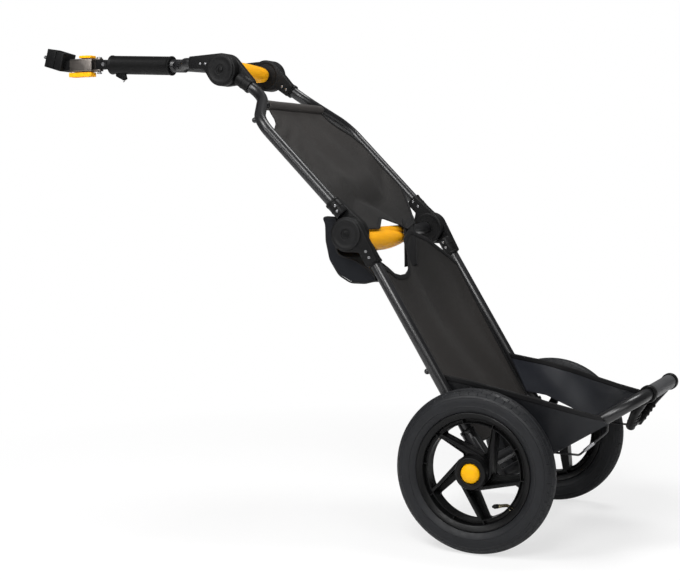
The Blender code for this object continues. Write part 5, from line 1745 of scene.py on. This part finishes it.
def screw_places():
    """The body, place and outward side of every small screw in the joints."""
    rows = []

    def add(body, spot, y, facing_side):
        rows.append((body, at(spot, y), facing_side))

    for name, side in SIDES:
        for along, across in ((0.0468, 0.0022), (0.0614, 0.0014)):
            add("upper_frame", upper_point(along, across), side * (FRAME_Y - JOINT_HALF), -side)
        for along, across in ((0.0452, 0.0010), (0.0550, 0.0050)):
            add("upper_frame", upper_point(along, across), side * (FRAME_Y + SOCKET), side)
        for along, across in ((0.0470, 0.0020), (0.0600, 0.0018)):
            add("lower_frame", lower_point(along, across), side * (FRAME_Y + JOINT_HALF), side)
            add("lower_frame", lower_point(along - 0.0030, across - 0.0034),
                side * (FRAME_Y - SOCKET + 0.0007), -side)
        for along in (0.0480, 0.0600):
            add("upper_frame", side_point(TOP_PIVOT, NECK_SLOPE, along, NECK_OFFSET - 0.001),
                side * (TOP_Y - JOINT_HALF), -side)
        for along in (0.0360, 0.0480):
            add("tow_bar", tow_point(along, 0.0018), side * (TOP_Y + JOINT_HALF), side)
    return rows


def make_screws():
    for body in ("lower_frame", "upper_frame", "tow_bar"):
        heads = []
        for owner, place, side in screw_places():
            if owner == body:
                way = (Matrix.Translation(place) @ outward(side)
                       @ Matrix.Translation((0.0, 0.0, -0.0006)))
                heads.append(bolt_form(way, SCREW_HEAD, 0.0022))
        keep(join(*heads), body + "_screws", steel(), body)


def make_stage():
    """The camera where the photograph was taken from, a pale floor, and soft lights."""
    scene = bpy.context.scene
    lens = bpy.data.cameras.new("camera")
    lens.lens = CAMERA_LENS
    lens.sensor_width = 36.0
    lens.clip_end = 60.0
    camera = bpy.data.objects.new("camera", lens)
    camera.location = CAMERA_PLACE
    camera.rotation_euler = [math.radians(angle) for angle in CAMERA_TURN]
    scene.collection.objects.link(camera)
    scene.camera = camera
    form = bmesh.new()
    bmesh.ops.create_circle(form, cap_ends=True, segments=96, radius=9.0)
    form.transform(Matrix.Translation((0.0, 0.0, -0.0004)))
    floor = keep(form, "floor", floor_finish(), smooth=0.0)
    for name, place, target, power, size in LIGHTS:
        light = bpy.data.lights.new(name, "AREA")
        light.shape = "DISK"
        light.size = size
        light.energy = power
        lamp = bpy.data.objects.new(name, light)
        lamp.location = place
        lamp.rotation_euler = (Vector(target) - Vector(place)).to_track_quat("-Z", "Y").to_euler()
        scene.collection.objects.link(lamp)
    world = bpy.data.worlds.new("studio")
    world.use_nodes = True
    tree = world.node_tree
    ground = tree.nodes["Background"]
    ground.inputs["Color"].default_value = WHITE
    ground.inputs["Strength"].default_value = 0.16
    white = tree.nodes.new("ShaderNodeBackground")
    white.inputs["Color"].default_value = WHITE
    white.inputs["Strength"].default_value = 1.0
    path = tree.nodes.new("ShaderNodeLightPath")
    seen = tree.nodes.new("ShaderNodeMath")
    seen.operation = "MAXIMUM"
    tree.links.new(path.outputs["Is Camera Ray"], seen.inputs[0])
    tree.links.new(path.outputs["Is Transmission Ray"], seen.inputs[1])
    mix = tree.nodes.new("ShaderNodeMixShader")
    tree.links.new(seen.outputs["Value"], mix.inputs["Fac"])
    tree.links.new(ground.outputs["Background"], mix.inputs[1])
    tree.links.new(white.outputs["Background"], mix.inputs[2])
    tree.links.new(mix.outputs["Shader"], tree.nodes["World Output"].inputs["Surface"])
    scene.world = world
    scene.view_settings.view_transform = "Standard"


def floor_finish():
    """A pale floor that turns to plain white away from the trailer, and keeps its shadow."""
    f = Finish("pale_floor", 0.8)
    where = f.place()
    cloud = f.noise(where, 1.2, 3.0)
    f.colour(f.blend(cloud, (0.92, 0.92, 0.92), (0.95, 0.95, 0.95)))
    f.relief(f.noise(where, 400.0, 2.0), 0.0002, 0.2)
    centre = f.node("Mapping")
    centre.inputs["Location"].default_value = (-0.9, 0.0, 0.0)
    f.feed(centre.inputs["Vector"], f.node("TexCoord").outputs["Object"])
    length = f.node("VectorMath", operation="LENGTH")
    f.feed(length.inputs[0], centre.outputs["Vector"])
    far = f.spread(length.outputs["Value"], 0.4, 1.7, 0.42, 1.0)
    path = f.node("LightPath")
    seen = f.sum("MAXIMUM", path.outputs["Is Camera Ray"], path.outputs["Is Transmission Ray"])
    light = f.node("Emission")
    light.inputs["Color"].default_value = WHITE
    mix = f.node("MixShader")
    f.feed(mix.inputs["Fac"], f.sum("MULTIPLY", far, seen))
    f.feed(mix.inputs[1], f.shader.outputs["BSDF"])
    f.feed(mix.inputs[2], light.outputs["Emission"])
    f.feed(f.tree.nodes["Material Output"].inputs["Surface"], mix.outputs["Shader"])
    return f.made


class TRAILER_OT_stage(bpy.types.Operator):
    """Adds the camera, the pale floor and the soft lights."""

    bl_idname = "trailer.stage"
    bl_label = "Camera and Stage"
    bl_options = {"REGISTER", "UNDO"}

    def execute(self, context):
        make_stage()
        return {"FINISHED"}


class TRAILER_OT_wheels(bpy.types.Operator):
    """Adds both wheels with their tyres, valves and release buttons."""

    bl_idname = "trailer.wheels"
    bl_label = "Wheels"
    bl_options = {"REGISTER", "UNDO"}

    def execute(self, context):
        make_wheels()
        return {"FINISHED"}


class TRAILER_OT_lower_frame(bpy.types.Operator):
    """Adds the lower tubes, the axle beam and the axle brackets."""

    bl_idname = "trailer.lower_frame"
    bl_label = "Lower Frame"
    bl_options = {"REGISTER", "UNDO"}

    def execute(self, context):
        make_lower_frame()
        return {"FINISHED"}


class TRAILER_OT_upper_frame(bpy.types.Operator):
    """Adds the bent upper tubes and the panel's rail."""

    bl_idname = "trailer.upper_frame"
    bl_label = "Upper Frame"
    bl_options = {"REGISTER", "UNDO"}

    def execute(self, context):
        make_upper_frame()
        return {"FINISHED"}


class TRAILER_OT_joints(bpy.types.Operator):
    """Adds the halves and the covers of the four folding joints."""

    bl_idname = "trailer.joints"
    bl_label = "Folding Joints"
    bl_options = {"REGISTER", "UNDO"}

    def execute(self, context):
        make_joints()
        return {"FINISHED"}


class TRAILER_OT_grips(bpy.types.Operator):
    """Adds the two lock bars with their yellow grips."""

    bl_idname = "trailer.grips"
    bl_label = "Lock Grips"
    bl_options = {"REGISTER", "UNDO"}

    def execute(self, context):
        make_grips()
        return {"FINISHED"}


class TRAILER_OT_tow_bar(bpy.types.Operator):
    """Adds the tow yoke and the sleeve on its tube."""

    bl_idname = "trailer.tow_bar"
    bl_label = "Tow Bar"
    bl_options = {"REGISTER", "UNDO"}

    def execute(self, context):
        make_tow_bar()
        return {"FINISHED"}


class TRAILER_OT_hitch(bpy.types.Operator):
    """Adds the swivel, the receiver, the clamp and the release tabs."""

    bl_idname = "trailer.hitch"
    bl_label = "Hitch"
    bl_options = {"REGISTER", "UNDO"}

    def execute(self, context):
        make_hitch()
        return {"FINISHED"}


class TRAILER_OT_tray(bpy.types.Operator):
    """Adds the tray's tube with its wires and its grey sleeve."""

    bl_idname = "trailer.tray"
    bl_label = "Load Tray"
    bl_options = {"REGISTER", "UNDO"}

    def execute(self, context):
        make_tray()
        return {"FINISHED"}


class TRAILER_OT_kickstand(bpy.types.Operator):
    """Adds the kickstand on the tray's rear bar."""

    bl_idname = "trailer.kickstand"
    bl_label = "Kickstand"
    bl_options = {"REGISTER", "UNDO"}

    def execute(self, context):
        make_kickstand()
        return {"FINISHED"}


class TRAILER_OT_panels(bpy.types.Operator):
    """Adds the upper and the lower fabric panel and the strip between them."""

    bl_idname = "trailer.panels"
    bl_label = "Fabric Panels"
    bl_options = {"REGISTER", "UNDO"}

    def execute(self, context):
        make_panels()
        make_joint_strip()
        return {"FINISHED"}


class TRAILER_OT_tray_fabric(bpy.types.Operator):
    """Adds the tray's fabric walls and floor."""

    bl_idname = "trailer.tray_fabric"
    bl_label = "Tray Fabric"
    bl_options = {"REGISTER", "UNDO"}

    def execute(self, context):
        make_walls()
        make_floor()
        return {"FINISHED"}


class TRAILER_OT_pouch(bpy.types.Operator):
    """Adds the storage pouch in front of the middle joint."""

    bl_idname = "trailer.pouch"
    bl_label = "Pouch"
    bl_options = {"REGISTER", "UNDO"}

    def execute(self, context):
        make_pouch()
        return {"FINISHED"}


class TRAILER_OT_screws(bpy.types.Operator):
    """Adds the small screws of the folding joints."""

    bl_idname = "trailer.screws"
    bl_label = "Joint Screws"
    bl_options = {"REGISTER", "UNDO"}

    def execute(self, context):
        make_screws()
        return {"FINISHED"}


OPERATORS = (
    TRAILER_OT_stage,
    TRAILER_OT_wheels,
    TRAILER_OT_lower_frame,
    TRAILER_OT_upper_frame,
    TRAILER_OT_joints,
    TRAILER_OT_grips,
    TRAILER_OT_tow_bar,
    TRAILER_OT_hitch,
    TRAILER_OT_tray,
    TRAILER_OT_kickstand,
    TRAILER_OT_panels,
    TRAILER_OT_tray_fabric,
    TRAILER_OT_pouch,
    TRAILER_OT_screws,
)


class TRAILER_PT_panel(bpy.types.Panel):
    """Lists the trailer's sizes, its colours and the steps that build it."""

    bl_label = "Bicycle Trailer"
    bl_idname = "TRAILER_PT_panel"
    bl_space_type = "VIEW_3D"
    bl_region_type = "UI"
    bl_category = "Trailer"

    def draw(self, context):
        for group in (context.scene.trailer_sizes, context.scene.trailer_colours):
            box = self.layout.box()
            for name in type(group).__annotations__:
                box.prop(group, name)
        for operator in OPERATORS:
            self.layout.operator(operator.bl_idname)


CLASSES = (TrailerSizes, TrailerColours) + OPERATORS + (TRAILER_PT_panel,)


def register():
    for cls in CLASSES:
        bpy.utils.register_class(cls)
    bpy.types.Scene.trailer_sizes = bpy.props.PointerProperty(type=TrailerSizes)
    bpy.types.Scene.trailer_colours = bpy.props.PointerProperty(type=TrailerColours)


def unregister():
    del bpy.types.Scene.trailer_colours
    del bpy.types.Scene.trailer_sizes
    for cls in reversed(CLASSES):
        bpy.utils.unregister_class(cls)


def main():
    register()
    for operator in OPERATORS:
        group, name = operator.bl_idname.split(".")
        getattr(getattr(bpy.ops, group), name)()


if __name__ == "__main__":
    main()
